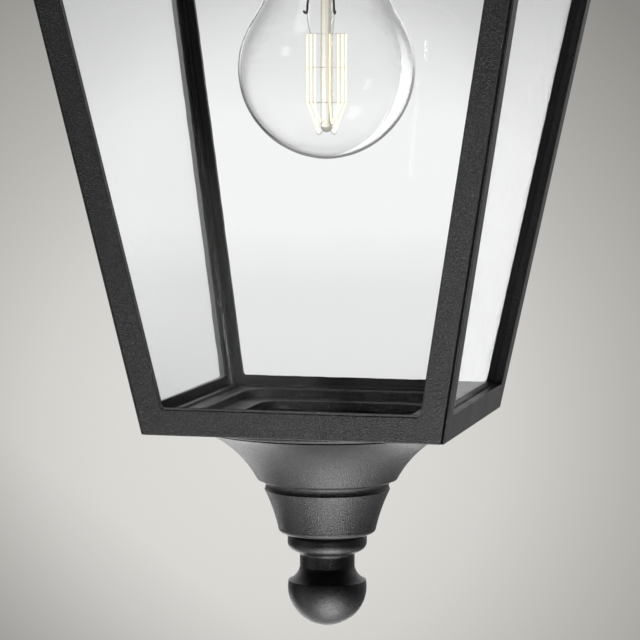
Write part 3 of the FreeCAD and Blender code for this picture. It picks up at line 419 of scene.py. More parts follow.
@dataclass
class Finishes:
    """The finish of each material slot, and of three pieces that have one of their own: a darker coat on
    the finial as painted shade, and a warm stem and pale hooks as painted glow from the filament.
    """

    paint: Grained = Grained("black_powder_coat", grey(0.005), grey(0.055), (0.33, 0.41),
                             grains=2700.0, relief=0.26 * MM)
    # Darker, glossier copy of the body's black coat, for the finial: the extra darkness is painted shade,
    # as the finial hangs under the lantern out of the light.
    shaded_finial_coat: Grained = Grained("black_coat_painted_shade", grey(0.001), grey(0.02), (0.28, 0.36),
                              grains=2700.0, relief=0.22 * MM)
    screw: Grained = Grained("blackened_steel", grey(0.03), grey(0.06), (0.32, 0.5),
                             grains=1500.0, relief=0.03 * MM, metallic=0.6)
    steel: Grained = Grained("zinc_plate", grey(0.5), grey(0.66), (0.24, 0.42),
                             grains=900.0, relief=0.01 * MM, metallic=1.0)
    brass: Grained = Grained("plain_brass", (0.62, 0.44, 0.17, 1.0), (0.76, 0.58, 0.27, 1.0), (0.2, 0.38),
                             grains=1100.0, relief=0.01 * MM, metallic=1.0)
    rubber: Grained = Grained("black_rubber", grey(0.012), grey(0.02), (0.6, 0.75),
                              grains=1800.0, relief=0.03 * MM)
    phenolic: Grained = Grained("black_phenolic", grey(0.014), grey(0.02), (0.18, 0.3),
                                grains=700.0, relief=0.01 * MM)
    insulator: Grained = Grained("vitreous_insulator", (0.03, 0.022, 0.02, 1.0), grey(0.04), (0.15, 0.3),
                                 grains=900.0, relief=0.01 * MM)
    wire: Grained = Grained("drawn_wire", grey(0.09), grey(0.2), (0.3, 0.45),
                            grains=1600.0, relief=0.01 * MM, metallic=0.9)
    # Pale, non-metal copy of the fine wire, for the hooks round the glowing strands: the paleness is
    # painted light from the filament.
    glow_lit_hook_wire: Grained = Grained("hook_wire_painted_glow", grey(0.5), grey(0.75), (0.3, 0.45),
                              grains=1600.0, relief=0.01 * MM)
    moulding: Grained = Grained("pale_moulding", (0.62, 0.6, 0.54, 1.0), (0.7, 0.68, 0.62, 1.0),
                                (0.35, 0.5), grains=1300.0, relief=0.02 * MM)
    pane: ClearGlass = ClearGlass("pane_glass", (0.985, 0.99, 0.988, 1.0))
    blown: ClearGlass = ClearGlass("blown_glass", (0.998, 0.999, 0.998, 1.0), waves=40.0, ior=1.16)
    # The stem is clear glass; its warm tint is painted glow, standing in for the filament's light inside
    # the rod.
    stem: ClearGlass = ClearGlass("stem_glass_painted_glow", (1.0, 0.96, 0.84, 1.0), waves=60.0, ior=1.16)
    filament: GlowingWire = GlowingWire("glowing_filament", (1.0, 0.76, 0.40, 1.0), (1.0, 0.94, 0.74, 1.0),
                                        strength=1.2)
    made: dict[Slot, bpy.types.Material] = field(default_factory=dict)
    apart: dict[str, bpy.types.Material] = field(default_factory=dict)

    def build(self) -> None:
        """Builds every finish."""
        effects = SharedEffects()
        finishes = {
            Slot.BODY_PAINT: self.paint, Slot.SCREW_BLACK: self.screw, Slot.STEEL: self.steel,
            Slot.BRASS: self.brass, Slot.PANE_GLASS: self.pane, Slot.BULB_GLASS: self.blown,
            Slot.SEAL_RUBBER: self.rubber, Slot.LAMPHOLDER_BLACK: self.phenolic,
            Slot.INSULATOR: self.insulator, Slot.FILAMENT_WIRE: self.filament,
            Slot.FINE_WIRE: self.wire, Slot.TERMINAL_PLASTIC: self.moulding}
        # These own finishes carry painted light: shade on the finial, and the filament's glow on the stem
        # and hooks.
        own = {"bulb_stem": self.stem, "cage_hooks": self.glow_lit_hook_wire, "finial": self.shaded_finial_coat}
        for slot, finish in finishes.items():
            self.made[slot] = finish.material(effects)
        for name, finish in own.items():
            self.apart[name] = finish.material(effects)

    def dress(self, piece: Piece, slot: Slot) -> None:
        """Puts a piece's own finish, or else its slot's, on all of it."""
        piece.data.materials.clear()
        piece.data.materials.append(self.apart.get(piece.name, self.made[slot]))


class Bench:
    """Modelling steps on one new mesh at a time."""

    FACING: float = 0.99
    SMOOTH_ANGLE: float = 0.6
    ROUND_STEPS: int = 2
    CURVE_STEPS: int = 4

    @staticmethod
    def clear() -> None:
        """Deselects everything."""
        bpy.ops.object.select_all(action="DESELECT")

    @staticmethod
    def only(piece: Piece) -> None:
        """Selects one piece and nothing else.

        Args:
            piece: The piece.
        """
        Bench.clear()
        piece.select_set(True)
        bpy.context.view_layer.objects.active = piece

    @staticmethod
    def seat(piece: Piece) -> None:
        """Puts a piece's place, turn and scale into its mesh."""
        Bench.only(piece)
        bpy.ops.object.transform_apply(location=True, rotation=True, scale=True)

    @staticmethod
    def settle(piece: Piece, name: str) -> Piece:
        """Names a piece, puts its place in its mesh and smooths all but its sharp edges.

        Args:
            piece: The piece.
            name: Its name.

        Returns:
            The piece.
        """
        Bench.seat(piece)
        bpy.ops.object.shade_smooth_by_angle(angle=Bench.SMOOTH_ANGLE)
        piece.name = name
        piece.data.name = name
        return piece

    @staticmethod
    def wire(path: Sequence[Vector], radius: float, eased: bool = False) -> Piece:
        """Round wire along a path.

        Args:
            path: Points of its centre line.
            radius: Its radius.
            eased: True where it curves past its points instead of bending at them.

        Returns:
            The wire.
        """
        curve = bpy.data.curves.new("wire", "CURVE")
        curve.dimensions = "3D"
        curve.bevel_depth = radius
        curve.bevel_resolution = Bench.ROUND_STEPS
        curve.resolution_u = Bench.CURVE_STEPS
        curve.use_fill_caps = True
        spline = curve.splines.new("NURBS" if eased else "POLY")
        spline.points.add(len(path) - 1)
        for point, place in zip(spline.points, path):
            point.co = (*place, 1.0)
        if eased:
            spline.order_u = 3
            spline.use_endpoint_u = True
        wire = bpy.data.objects.new("wire", curve)
        bpy.context.collection.objects.link(wire)
        Bench.only(wire)
        bpy.ops.object.convert(target="MESH")
        return bpy.context.object

    @staticmethod
    def pick_faces(piece: Piece, way: Vector) -> None:
        """Selects the faces that look one way, and starts edit mode.

        Args:
            piece: The piece.
            way: Direction that the faces look in.
        """
        Bench.only(piece)
        bpy.ops.object.mode_set(mode="EDIT")
        bpy.ops.mesh.select_mode(type="FACE")
        bpy.ops.mesh.select_all(action="DESELECT")
        bpy.ops.object.mode_set(mode="OBJECT")
        for face in piece.data.polygons:
            face.select = face.normal.dot(way) > Bench.FACING
        bpy.ops.object.mode_set(mode="EDIT")

    @staticmethod
    def cut(piece: Piece, cutter: Piece) -> None:
        """Takes a cutter's shape out of a piece, and removes the cutter.

        Args:
            piece: What is cut.
            cutter: Closed shape to take away.
        """
        Bench.only(piece)
        bite = piece.modifiers.new("bite", "BOOLEAN")
        bite.operation = "DIFFERENCE"
        bite.solver = "EXACT"
        bite.object = cutter
        bpy.ops.object.modifier_apply(modifier=bite.name)
        bpy.data.objects.remove(cutter)

    @staticmethod
    def repeat(piece: Piece, spots: Sequence[Spot], name: str) -> Piece:
        """Copies a piece to several places and joins the copies.

        Args:
            piece: Modelled once, its head up.
            spots: Place of each copy, and the way that its head looks.
            name: Name of the result.

        Returns:
            The joined copies.
        """
        copies = []
        for place, way in spots:
            copy = piece.copy()
            copy.data = piece.data.copy()
            copy.location = place
            copy.rotation_euler = way.to_track_quat("Z", "Y").to_euler()
            bpy.context.collection.objects.link(copy)
            copies.append(copy)
        bpy.data.objects.remove(piece)
        return Bench.join(copies, name)

    @staticmethod
    def join(pieces: Sequence[Piece], name: str) -> Piece:
        """Joins pieces into one.

        Args:
            pieces: What is joined, the first taking the rest.
            name: Name of the result.

        Returns:
            The joined piece.
        """
        Bench.only(pieces[0])
        if len(pieces) > 1:
            for piece in pieces[1:]:
                piece.select_set(True)
            bpy.ops.object.join()
        return Bench.settle(pieces[0], name)


def fit(piece: Piece, slot: Slot, finishes: Finishes, node: str) -> None:
    """Dresses a new piece, ties it to the lantern and lets it stand for a CAD node.

    Args:
        piece: The new piece.
        slot: Its material slot.
        finishes: The built finishes.
        node: CAD node that it stands for.
    """
    finishes.dress(piece, slot)
    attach(piece, BODY)
    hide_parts(node)
    LOG.info("piece %s stands for %s", piece.name, node)


@dataclass(frozen=True)
class Drive:
    """Blades that cut a recess: shares of a head's radius and height, and the angles they stand at."""

    length: float
    width: float
    depth: float
    turns: tuple[float, ...]
    taper: float = 0.8


DRIVES = {Recess.CROSS: Drive(1.15, 0.24, 1.1, (0.0, math.pi / 2)),
          Recess.SLOT: Drive(2.4, 0.3, 0.9, (0.0,))}


@dataclass
class Screw:
    """A machine screw with a recess in its head, modelled once with its head up.

    A pan head sits on the origin. A sunk head ends flush with it.
    """

    head_r: float
    head_h: float
    shank_r: float
    reach: float
    recess: Recess
    sunk: bool = False
    edge: float = 0.7 * MM
    edge_steps: int = 4
    tip_share: float = 0.8
    facets: int = 40

    def model(self) -> Piece:
        """Models the screw.

        Returns:
            The screw, its head towards +Z.
        """
        top = 0.0 if self.sunk else self.head_h
        Bench.clear()
        bpy.ops.mesh.primitive_cylinder_add(vertices=self.facets, radius=self.head_r, depth=self.head_h,
                                            location=(0.0, 0.0, top - self.head_h / 2))
        screw = bpy.context.object
        Bench.seat(screw)
        if not self.sunk:
            Bench.pick_faces(screw, UP)
            bpy.ops.mesh.bevel(offset=self.edge, segments=self.edge_steps, profile=0.5)
            bpy.ops.object.mode_set(mode="OBJECT")
        Bench.pick_faces(screw, -UP)
        if self.sunk:
            share = self.shank_r / self.head_r
            bpy.ops.transform.resize(value=(share, share, 1.0))
        elif self.shank_r < self.head_r:
            bpy.ops.mesh.inset(thickness=self.head_r - self.shank_r)
        if self.reach > 0.0:
            bpy.ops.mesh.extrude_region_move(TRANSFORM_OT_translate={"value": (0.0, 0.0, -self.reach)})
            bpy.ops.transform.resize(value=(self.tip_share, self.tip_share, 1.0))
        bpy.ops.object.mode_set(mode="OBJECT")
        self.cut_recess(screw, top)
        return screw

    def cut_recess(self, screw: Piece, top: float) -> None:
        """Cuts the drive into the head.

        Args:
            screw: The plain screw.
            top: Height of the head's top.
        """
        drive = DRIVES[self.recess]
        size = (self.head_r * drive.length, self.head_r * drive.width, self.head_h * drive.depth)
        for turn in drive.turns:
            Bench.clear()
            bpy.ops.mesh.primitive_cube_add(size=1.0, location=(0.0, 0.0, top), rotation=(0.0, 0.0, turn),
                                            scale=size)
            blade = bpy.context.object
            Bench.seat(blade)
            Bench.pick_faces(blade, -UP)
            bpy.ops.transform.resize(value=(drive.taper, drive.taper, 1.0))
            bpy.ops.object.mode_set(mode="OBJECT")
            Bench.cut(screw, blade)


@dataclass
class Fasteners:
    """Every visible screw of the lantern, its place read from the CAD node that it stands for.

    Each kind has a method. A spot is the place of a head, and the way that it looks.
    """

    small_r: float = 1.5 * MM
    small_head: Pair = (2.7 * MM, 1.8 * MM)
    large_r: float = 2.0 * MM
    large_head: Pair = (3.6 * MM, 2.4 * MM)
    skirt_x: float = 55.0 * MM
    skirt_reach: float = 6.0 * MM
    head_x: float = 60.0 * MM
    foot_x: float = 30.0 * MM
    terminal_r: float = 1.8 * MM
    terminal_h: float = 1.0 * MM
    terminal_edge: float = 0.2 * MM
    terminal_columns: tuple[float, ...] = (-10.0 * MM, 0.0, 10.0 * MM)
    grub_edge: float = 0.25 * MM
    axis: Vector = field(init=False)

    def __post_init__(self) -> None:
        """Finds the lantern's upright axis, at height 0."""
        low, high = corners("finial")
        self.axis = (low + high) / 2 * Vector((1.0, 1.0, 0.0))

    def build(self, finishes: Finishes) -> None:
        """Models each kind once and copies it to its places.

        Args:
            finishes: The built finishes.
        """
        kinds = (("skirt_screws", self.skirt, Slot.SCREW_BLACK), ("head_screws", self.head, Slot.STEEL),
                 ("foot_screws", self.foot, Slot.SCREW_BLACK), ("cup_screws", self.cup, Slot.SCREW_BLACK),
                 ("earth_screw", self.earth, Slot.BRASS), ("terminal_screws", self.terminals, Slot.BRASS),
                 ("collar_screw", self.grub, Slot.SCREW_BLACK))
        for node, kind, slot in kinds:
            screw, spots = kind(*corners(node))
            fit(Bench.repeat(screw.model(), spots, node + "_driven"), slot, finishes, node)

    def skirt(self, low: Vector, high: Vector) -> tuple[Screw, list[Spot]]:
        """Pan heads on the roof's skirt, two to a side.

        Args:
            low: Lowest corner of the CAD screws.
            high: Their highest corner.

        Returns:
            The screw and its spots.
        """
        seat = self.axis.y - low.y - self.large_head[1]
        screw = Screw(*self.large_head, self.large_r, self.skirt_reach, Recess.CROSS)
        return screw, self.sides(self.skirt_x, seat, (low.z + high.z) / 2, OUT)

    def head(self, low: Vector, high: Vector) -> tuple[Screw, list[Spot]]:
        """Pan heads on the head frame, two to a side, that hold the four frames.

        Args:
            low: Lowest corner of the CAD screws.
            high: Their highest corner.

        Returns:
            The screw and its spots.
        """
        radius, height = self.small_head
        screw = Screw(radius, height, self.small_r, high.z - low.z - height, Recess.CROSS)
        return screw, self.sides(self.head_x, self.axis.y - low.y - radius, high.z - height, UP)

    def foot(self, low: Vector, high: Vector) -> tuple[Screw, list[Spot]]:
        """Sunk heads under the frames' feet, two to a side."""
        screw = self.sunk(self.small_head[0], self.small_r, high.z - low.z)
        return screw, self.sides(self.foot_x, self.axis.y - low.y - screw.head_r, low.z, -UP)

    def cup(self, low: Vector, high: Vector) -> tuple[Screw, list[Spot]]:
        """Sunk heads in the tray, one to a side, that hold the cup."""
        screw = self.sunk(self.large_head[0], self.large_r, high.z - low.z)
        return screw, self.sides(0.0, self.axis.y - low.y - screw.head_r, high.z, UP)[::2]

    def earth(self, low: Vector, high: Vector) -> tuple[Screw, list[Spot]]:
        """One pan head inside the wall plate that looks at the wall.

        Args:
            low: Lowest corner of the CAD screw.
            high: Its highest corner.

        Returns:
            The screw and its spot.
        """
        radius, height = self.large_head
        screw = Screw(radius, height, self.large_r, high.y - low.y - height, Recess.CROSS)
        return screw, [(Vector(((low.x + high.x) / 2, high.y - height, (low.z + high.z) / 2)), -OUT)]

    def terminals(self, low: Vector, high: Vector) -> tuple[Screw, list[Spot]]:
        """Slotted heads on the terminal block, two to a column.

        Args:
            low: Lowest corner of the CAD screws.
            high: Their highest corner.

        Returns:
            The screw and its spots.
        """
        screw = Screw(self.terminal_r, self.terminal_h, self.terminal_r, 0.0, Recess.SLOT,
                      edge=self.terminal_edge)
        rows = (low.z + self.terminal_r, high.z - self.terminal_r)
        return screw, [(Vector((x, low.y, z)), -OUT) for x in self.terminal_columns for z in rows]

    def grub(self, low: Vector, high: Vector) -> tuple[Screw, list[Spot]]:
        """One headless screw in the arm's collar."""
        screw = Screw(self.small_r, high.y - low.y, self.small_r, 0.0, Recess.SLOT, edge=self.grub_edge)
        return screw, [(Vector(((low.x + high.x) / 2, low.y, (low.z + high.z) / 2)), -OUT)]

    @staticmethod
    def sunk(head_r: float, shank_r: float, length: float) -> Screw:
        """A screw of that whole length, with a sunk head that slopes by 45 degrees."""
        sink = head_r - shank_r
        return Screw(head_r, sink, shank_r, length - sink, Recess.CROSS, sunk=True)

    def sides(self, across: float, depth: float, height: float, way: Vector) -> list[Spot]:
        """Spots on the four sides of the lantern, in pairs about the middle of each side.

        Args:
            across: Distance from the middle of a side.
            depth: Distance from the lantern's axis.
            height: Height of the places.
            way: Way that a head on the front side looks.

        Returns:
            Place and way of each head.
        """
        spots = []
        for quarter in range(4):
            turn = Matrix.Rotation(quarter * math.pi / 2, 3, "Z")
            for x in (-across, across):
                spots.append((self.axis + turn @ Vector((x, -depth, height)), turn @ way))
        return spots


@dataclass
class Bulb:
    """Glowing cage inside the clear bulb, with its hooks and leads.

    Heights count from the crown, the bulb's lowest point, and radii from its axis. The points of
    foot_hook count outwards and up from a foot, lead_hook from a lead's end and tie from a strand's top.
    """

    strands: int = 8
    cage_r: float = 6.6 * MM
    foot_r: float = 3.2 * MM
    stem_r: float = 1.9 * MM
    top_h: float = 42.0 * MM
    mid_h: float = 30.8 * MM
    bend_h: float = 19.0 * MM
    foot_h: Pair = (8.8 * MM, 12.0 * MM)
    strand_r: float = 0.26 * MM
    hook_r: float = 0.07 * MM
    eye_r: float = 0.42 * MM
    eye_turn: float = 0.85 * math.tau
    eye_steps: int = 8
    ring_steps: int = 48
    foot_hook_r: float = 0.112 * MM
    foot_hook: tuple[Pair, ...] = millimetres((-2.06, 1.2), (-0.96, -0.6), (0.5, -0.6), (0.6, 0.4))
    lead_r: float = 0.38 * MM
    lead_ways: Pair = (math.radians(205.0), math.radians(82.0))
    lead_end_h: float = 49.2 * MM
    lead_hook: tuple[Pair, ...] = millimetres((-2.1, 12.8), (-1.7, 8.0), (0.0, 4.0), (0.0, 0.0),
                                              (0.9, -0.6), (1.3, 0.6))
    tie: tuple[Pair, ...] = millimetres((0.0, 7.2), (0.0, 2.0), (-1.32, 0.0))
    crown: Vector = field(init=False)

    def __post_init__(self) -> None:
        """Finds the bulb's lowest point."""
        low, high = corners("bulb_envelope")
        self.crown = Vector(((low.x + high.x) / 2, (low.y + high.y) / 2, low.z))

    def build(self, finishes: Finishes) -> None:
        """Builds the filament, its supports and its leads.

        Args:
            finishes: The built finishes.
        """
        fit(self.filament(), Slot.FILAMENT_WIRE, finishes, "bulb_filament")
        fit(self.supports(), Slot.FINE_WIRE, finishes, "bulb_supports")
        fit(self.leads(), Slot.FINE_WIRE, finishes, "bulb_leads")

    def angle(self, strand: float) -> float:
        """Angle of a strand round the bulb's axis."""
        return math.tau * (strand + 0.5) / self.strands

    def pair_angle(self, pair: int) -> float:
        """Angle midway between the two strands of a pair."""
        return self.angle(2 * pair + 0.5)

    def ring(self, radius: float, angle: float, height: float) -> Vector:
        """Point on a ring about the bulb's axis."""
        return self.crown + Vector((radius * math.cos(angle), radius * math.sin(angle), height))

    def bent(self, angle: float, radius: float, height: float, steps: Sequence[Pair]) -> list[Vector]:
        """Path in the upright plane of an angle, its points counted outwards and up from one place."""
        return [self.ring(radius + outward, angle, height + rise) for outward, rise in steps]

    def filament(self) -> Piece:
        """Strands in pairs, each pair drawn together at its foot.

        Returns:
            The filament.
        """
        wires = []
        for index in range(self.strands):
            pair = index // 2
            path = [self.ring(self.cage_r, self.angle(index), self.top_h),
                    self.ring(self.cage_r, self.angle(index), self.bend_h),
                    self.ring(self.foot_r, self.pair_angle(pair), self.foot_h[pair % 2])]
            wires.append(Bench.wire(path, self.strand_r))
        return Bench.join(wires, "filament_cage")

    def eye(self, angle: float, height: float) -> list[Vector]:
        """Path of a hook from the stem to a strand, with an eye round the strand.

        Args:
            angle: Angle of the strand.
            height: Height above the crown.

        Returns:
            The path's points.
        """
        strand = self.ring(self.cage_r, angle, height)
        path = [self.ring(self.stem_r, angle, height)]
        for step in range(self.eye_steps + 1):
            turn = angle + math.pi + step * self.eye_turn / self.eye_steps
            path.append(strand + self.eye_r * Vector((math.cos(turn), math.sin(turn), 0.0)))
        return path

    def supports(self) -> Piece:
        """Hooks with eyes round the strands, a ring round the bends and hooks under the feet.

        Returns:
            The supports.
        """
        wires = []
        for index in range(self.strands):
            for height in (self.top_h, self.mid_h):
                wires.append(Bench.wire(self.eye(self.angle(index), height), self.hook_r, eased=True))
        reach = self.cage_r + self.strand_r + self.hook_r
        ring = [self.ring(reach, math.tau * step / self.ring_steps, self.bend_h)
                for step in range(self.ring_steps + 1)]
        wires.append(Bench.wire(ring, self.hook_r))
        for pair in range(self.strands // 2):
            hook = self.bent(self.pair_angle(pair), self.foot_r, self.foot_h[pair % 2], self.foot_hook)
            wires.append(Bench.wire(hook, self.foot_hook_r, eased=True))
        return Bench.join(wires, "cage_hooks")

    def leads(self) -> Piece:
        """Two leads from the stem's press, each hooked at its end and tied to the cage by a finer wire.

        Returns:
            The leads.
        """
        wires = []
        for way in self.lead_ways:
            lead = self.bent(way, self.cage_r, self.lead_end_h, self.lead_hook)
            wires.append(Bench.wire(lead, self.lead_r, eased=True))
            tie = self.bent(way, self.cage_r, self.top_h, self.tie)
            wires.append(Bench.wire(tie, self.hook_r, eased=True))
        return Bench.join(wires, "hooked_leads")


@dataclass(frozen=True)
class View:
    """Camera where the photograph was taken from."""

    eye: Point = (0.2302, -1.0763, -0.2001)
    tilt: float = math.radians(84.63)
    swing: float = math.radians(13.99)
    lens: float = 159.7
    sensor: float = 36.0

    def build(self) -> None:
        """Adds the camera."""
        lens = bpy.data.cameras.new("camera")
        lens.lens = self.lens
        lens.sensor_width = self.sensor
        camera = bpy.data.objects.new("camera", lens)
        camera.location = self.eye
        camera.rotation_euler = self.turn()
        bpy.context.scene.collection.objects.link(camera)
        bpy.context.scene.camera = camera
        bpy.context.view_layer.update()

    def turn(self) -> Euler:
        """Rotation of the camera."""
        return Euler((self.tilt, 0.0, self.swing))

    def across(self, way: Pair) -> Vector:
        """Direction in the picture's plane, from its part to the right and its part up."""
        return self.turn().to_matrix() @ Vector((*way, 0.0))

    def toward(self, spot: Pair) -> Vector:
        """Direction that a spot of the photograph looks in.

        Args:
            spot: Pixels from the photograph's upper left corner.

        Returns:
            The direction, of length 1.
        """
        focal = self.lens / self.sensor * PHOTO_SIZE
        half = PHOTO_SIZE / 2
        ahead = Vector(((spot[0] - half) / focal, (half - spot[1]) / focal, -1.0))
        return (self.turn().to_matrix() @ ahead).normalized()


@dataclass(frozen=True)
class Floor:
    """Pale round floor far below the finial that fades out at its edge."""

    drop: float = 0.8
    radius: float = 1.25
    solid_share: float = 0.45
    sides: int = 128
    colour: Colour = (0.8, 0.79, 0.77, 1.0)
    roughness: float = 0.7

    def build(self) -> None:
        """Adds the floor as part of the stage."""
        low, high = corners("finial")
        middle = (low + high) / 2
        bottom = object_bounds()[0][2]
        Bench.clear()
        bpy.ops.mesh.primitive_circle_add(vertices=self.sides, radius=self.radius, fill_type="NGON",
                                          location=(middle.x, middle.y, bottom - self.drop))
        floor = Bench.settle(bpy.context.object, "floor")
        floor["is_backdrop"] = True
        floor.data.materials.append(self.material(middle))

    def material(self, middle: Vector) -> bpy.types.Material:
        """Pale finish that fades out. Mirrors and views from below don't show it.

        Args:
            middle: Point above the floor's middle.

        Returns:
            The material.
        """
        sheet, material = Sheet.of_material("pale_floor")
        place = sheet.add("ShaderNodeMapping", {
            "Vector": sheet.place(), "Location": (-middle.x, -middle.y, 0.0), "Scale": (1.0, 1.0, 0.0)})
        reach = sheet.add("ShaderNodeVectorMath", {0: place.outputs[0]}, operation="LENGTH")
        fade = Slope(self.solid_share * self.radius, self.radius, 1.0, 0.0)
        shader = sheet.add("ShaderNodeBsdfPrincipled", {
            "Base Color": self.colour, "Roughness": self.roughness,
            "Alpha": sheet.spread(reach.outputs["Value"], fade)})
        clear = sheet.add("ShaderNodeBsdfTransparent")
        mirrored = sheet.add("ShaderNodeLightPath").outputs["Is Glossy Ray"]
        below = sheet.add("ShaderNodeNewGeometry").outputs["Backfacing"]
        sheet.finish(sheet.mix(sheet.math("MAXIMUM", mirrored, below), shader, clear))
        return material


@dataclass(frozen=True)
class Lamp:
    """Soft rectangular lamp: its place, the point that it faces, its size, its watts and its beam."""

    name: str
    place: Point
    aim: Point
    size: Pair
    power: float
    beam: float = math.pi

    def build(self) -> None:
        """Adds the lamp, unseen by the camera and through glass."""
        light = bpy.data.lights.new(self.name, "AREA")
        light.shape = "RECTANGLE"
        light.size, light.size_y = self.size
        light.energy = self.power
        light.spread = self.beam
        lamp = bpy.data.objects.new(self.name, light)
        lamp.location = self.place
        lamp.rotation_euler = (Vector(self.place) - Vector(self.aim)).to_track_quat("Z", "Y").to_euler()
        lamp.visible_camera = False
        lamp.visible_transmission = False
        bpy.context.scene.collection.objects.link(lamp)


@dataclass(frozen=True)
class Window:
    """Bright round patch of the soft light: its direction, its reach in radians and its strength.

    An enclosed window shows only to rays that have crossed a pane both ways, so as highlights on the bulb.
    """

    way: Point
    reach: float
    strength: float
    enclosed: bool = True
    core_share: float = 0.35

    def patch(self, sheet: Sheet, way: Socket, crossed: Socket) -> Socket:
        """Light of the window.

        Args:
            sheet: Tree that it goes into.
            way: Direction's socket.
            crossed: 1 for rays that have crossed a pane both ways, else 0.

        Returns:
            The level's socket.
        """
        edge = Slope(math.cos(self.reach), math.cos(self.core_share * self.reach), 0.0, self.strength)
        patch = sheet.spread(sheet.along(way, Vector(self.way).normalized()), edge)
        return sheet.product(patch, crossed) if self.enclosed else patch


@dataclass
class Backdrop:
    """World: a warm grey glow behind the lantern, a paler one through its glass, and soft light.

    Slopes of the soft light, the dims and the right pane read a ray's direction along X, Y or Z.
    Reaches and fades of the glow and the pale light read its angle off their middle, in radians.
    """

    view: View
    glow_at: Pair = (268.0, 430.0)
    glow_reach: Slope = Slope(0.0, 0.5)
    glow_stops: tuple[Stop, ...] = (
        (0.0, (0.735, 0.725, 0.692, 1.0)), (0.1, (0.705, 0.695, 0.663, 1.0)),
        (0.16, (0.650, 0.640, 0.610, 1.0)), (0.25, (0.483, 0.474, 0.446, 1.0)),
        (0.39, (0.258, 0.253, 0.236, 1.0)), (1.0, (0.5, 0.49, 0.47, 1.0)))
    corner_way: Pair = (-0.617, -0.787)
    corner_shade: Slope = Slope(0.098, 0.154, 0.0, 0.28)
    corner_fade: Slope = Slope(0.2, 0.4, 1.0, 0.0)
    pale_at: Pair = (310.0, 215.0)
    pale_reach: Slope = Slope(0.0, 0.15)
    pale_peak: float = 1.09
    pale_stops: tuple[Stop, ...] = (
        (0.0, grey(1.0)), (0.42, grey(1.0)), (0.5, grey(0.95)), (0.59, grey(0.82)), (0.73, grey(0.68)),
        (0.85, grey(0.62)), (1.0, grey(0.6)))
    pale_dims: tuple[Slope, ...] = (
        Slope(-0.082, -0.06, 0.88, 1.0), Slope(-0.118, -0.085, 0.95, 1.0), Slope(-0.025, 0.018, 1.0, 0.8))
    pale_fade: Slope = Slope(0.3, 0.6)
    right_lean: float = -0.152
    right_edge: Slope = Slope(-0.187, -0.177)
    right_fade: Slope = Slope(-0.035, 0.038, 1.0, 0.0)
    right_level: float = 1.74
    behind: Slope = Slope(0.2, 0.8, 0.03, 1.0)
    horizon: Slope = Slope(-0.08, 0.05, 0.32, 1.2)
    overhead: Slope = Slope(0.25, 0.7, 1.0, 0.3)
    rightward: Slope = Slope(0.0, 0.2, 1.0, 0.6)
    underneath: Slope = Slope(-0.85, -0.45, 1.3, 0.0)
    crossed: Slope = Slope(2.0, 3.0)
    windows: tuple[Window, ...] = (
        Window((-0.66, -0.68, 0.32), 0.15, 18.0), Window((0.55, -0.22, -0.79), 0.18, 18.0),
        Window((0.145, 0.975, -0.16), 0.12, 0.3, enclosed=False))

    def build(self) -> None:
        """Builds the world, and sets the plain view transform."""
        scene = bpy.context.scene
        scene.view_settings.view_transform = "Standard"
        scene.world = bpy.data.worlds.new("studio")
        scene.world.use_nodes = True
        sheet = Sheet(scene.world.node_tree)
        way = sheet.add("ShaderNodeTexCoord").outputs["Generated"]
        path = sheet.add("ShaderNodeLightPath").outputs
        glow = self.glow(sheet, way)
        soft = self.soft(sheet, way, path["Transmission Depth"])
        pale = self.pale(sheet, way, glow)
        straight = sheet.math("SUBTRACT", path["Is Transmission Ray"], path["Diffuse Depth"])
        straight = sheet.math("SUBTRACT", straight, path["Glossy Depth"])
        through = sheet.blend(sheet.math("MAXIMUM", straight, 0.0), soft, pale)
        seen = sheet.blend(path["Is Camera Ray"], through, glow)
        sheet.finish(sheet.add("ShaderNodeBackground", {"Color": seen, "Strength": 1.0}).outputs[0])

    def glow(self, sheet: Sheet, way: Socket) -> Socket:
        """Warm grey that the camera sees, darker towards the lower left.

        Args:
            sheet: Tree that it goes into.
            way: Direction's socket.

        Returns:
            The colour's socket.
        """
        off = self.angle_off(sheet, way, self.glow_at)
        glow = self.ramp(sheet, sheet.spread(off, self.glow_reach), self.glow_stops)
        corner = sheet.spread(sheet.along(way, self.view.across(self.corner_way)), self.corner_shade)
        return sheet.blend(sheet.product(corner, sheet.spread(off, self.corner_fade)), glow, grey(0.0))

    def soft(self, sheet: Sheet, way: Socket, crossings: Socket) -> Socket:
        """Light on the lantern, mostly from behind and below, with its windows.

        Args:
            sheet: Tree that it goes into.
            way: Direction's socket.
            crossings: How many glass faces the ray has crossed.

        Returns:
            The colour's socket.
        """
        axes = sheet.add("ShaderNodeSeparateXYZ", {0: way}).outputs
        level = sheet.product(
            sheet.spread(axes["Y"], self.behind), sheet.spread(axes["Z"], self.horizon),
            sheet.spread(axes["Z"], self.overhead), sheet.spread(axes["X"], self.rightward))
        level = sheet.math("MAXIMUM", level, sheet.spread(axes["Z"], self.underneath))
        crossed = sheet.spread(crossings, self.crossed)
        for window in self.windows:
            level = sheet.math("ADD", level, window.patch(sheet, way, crossed))
        return sheet.add("ShaderNodeCombineColor", {0: level, 1: level, 2: level}).outputs[0]

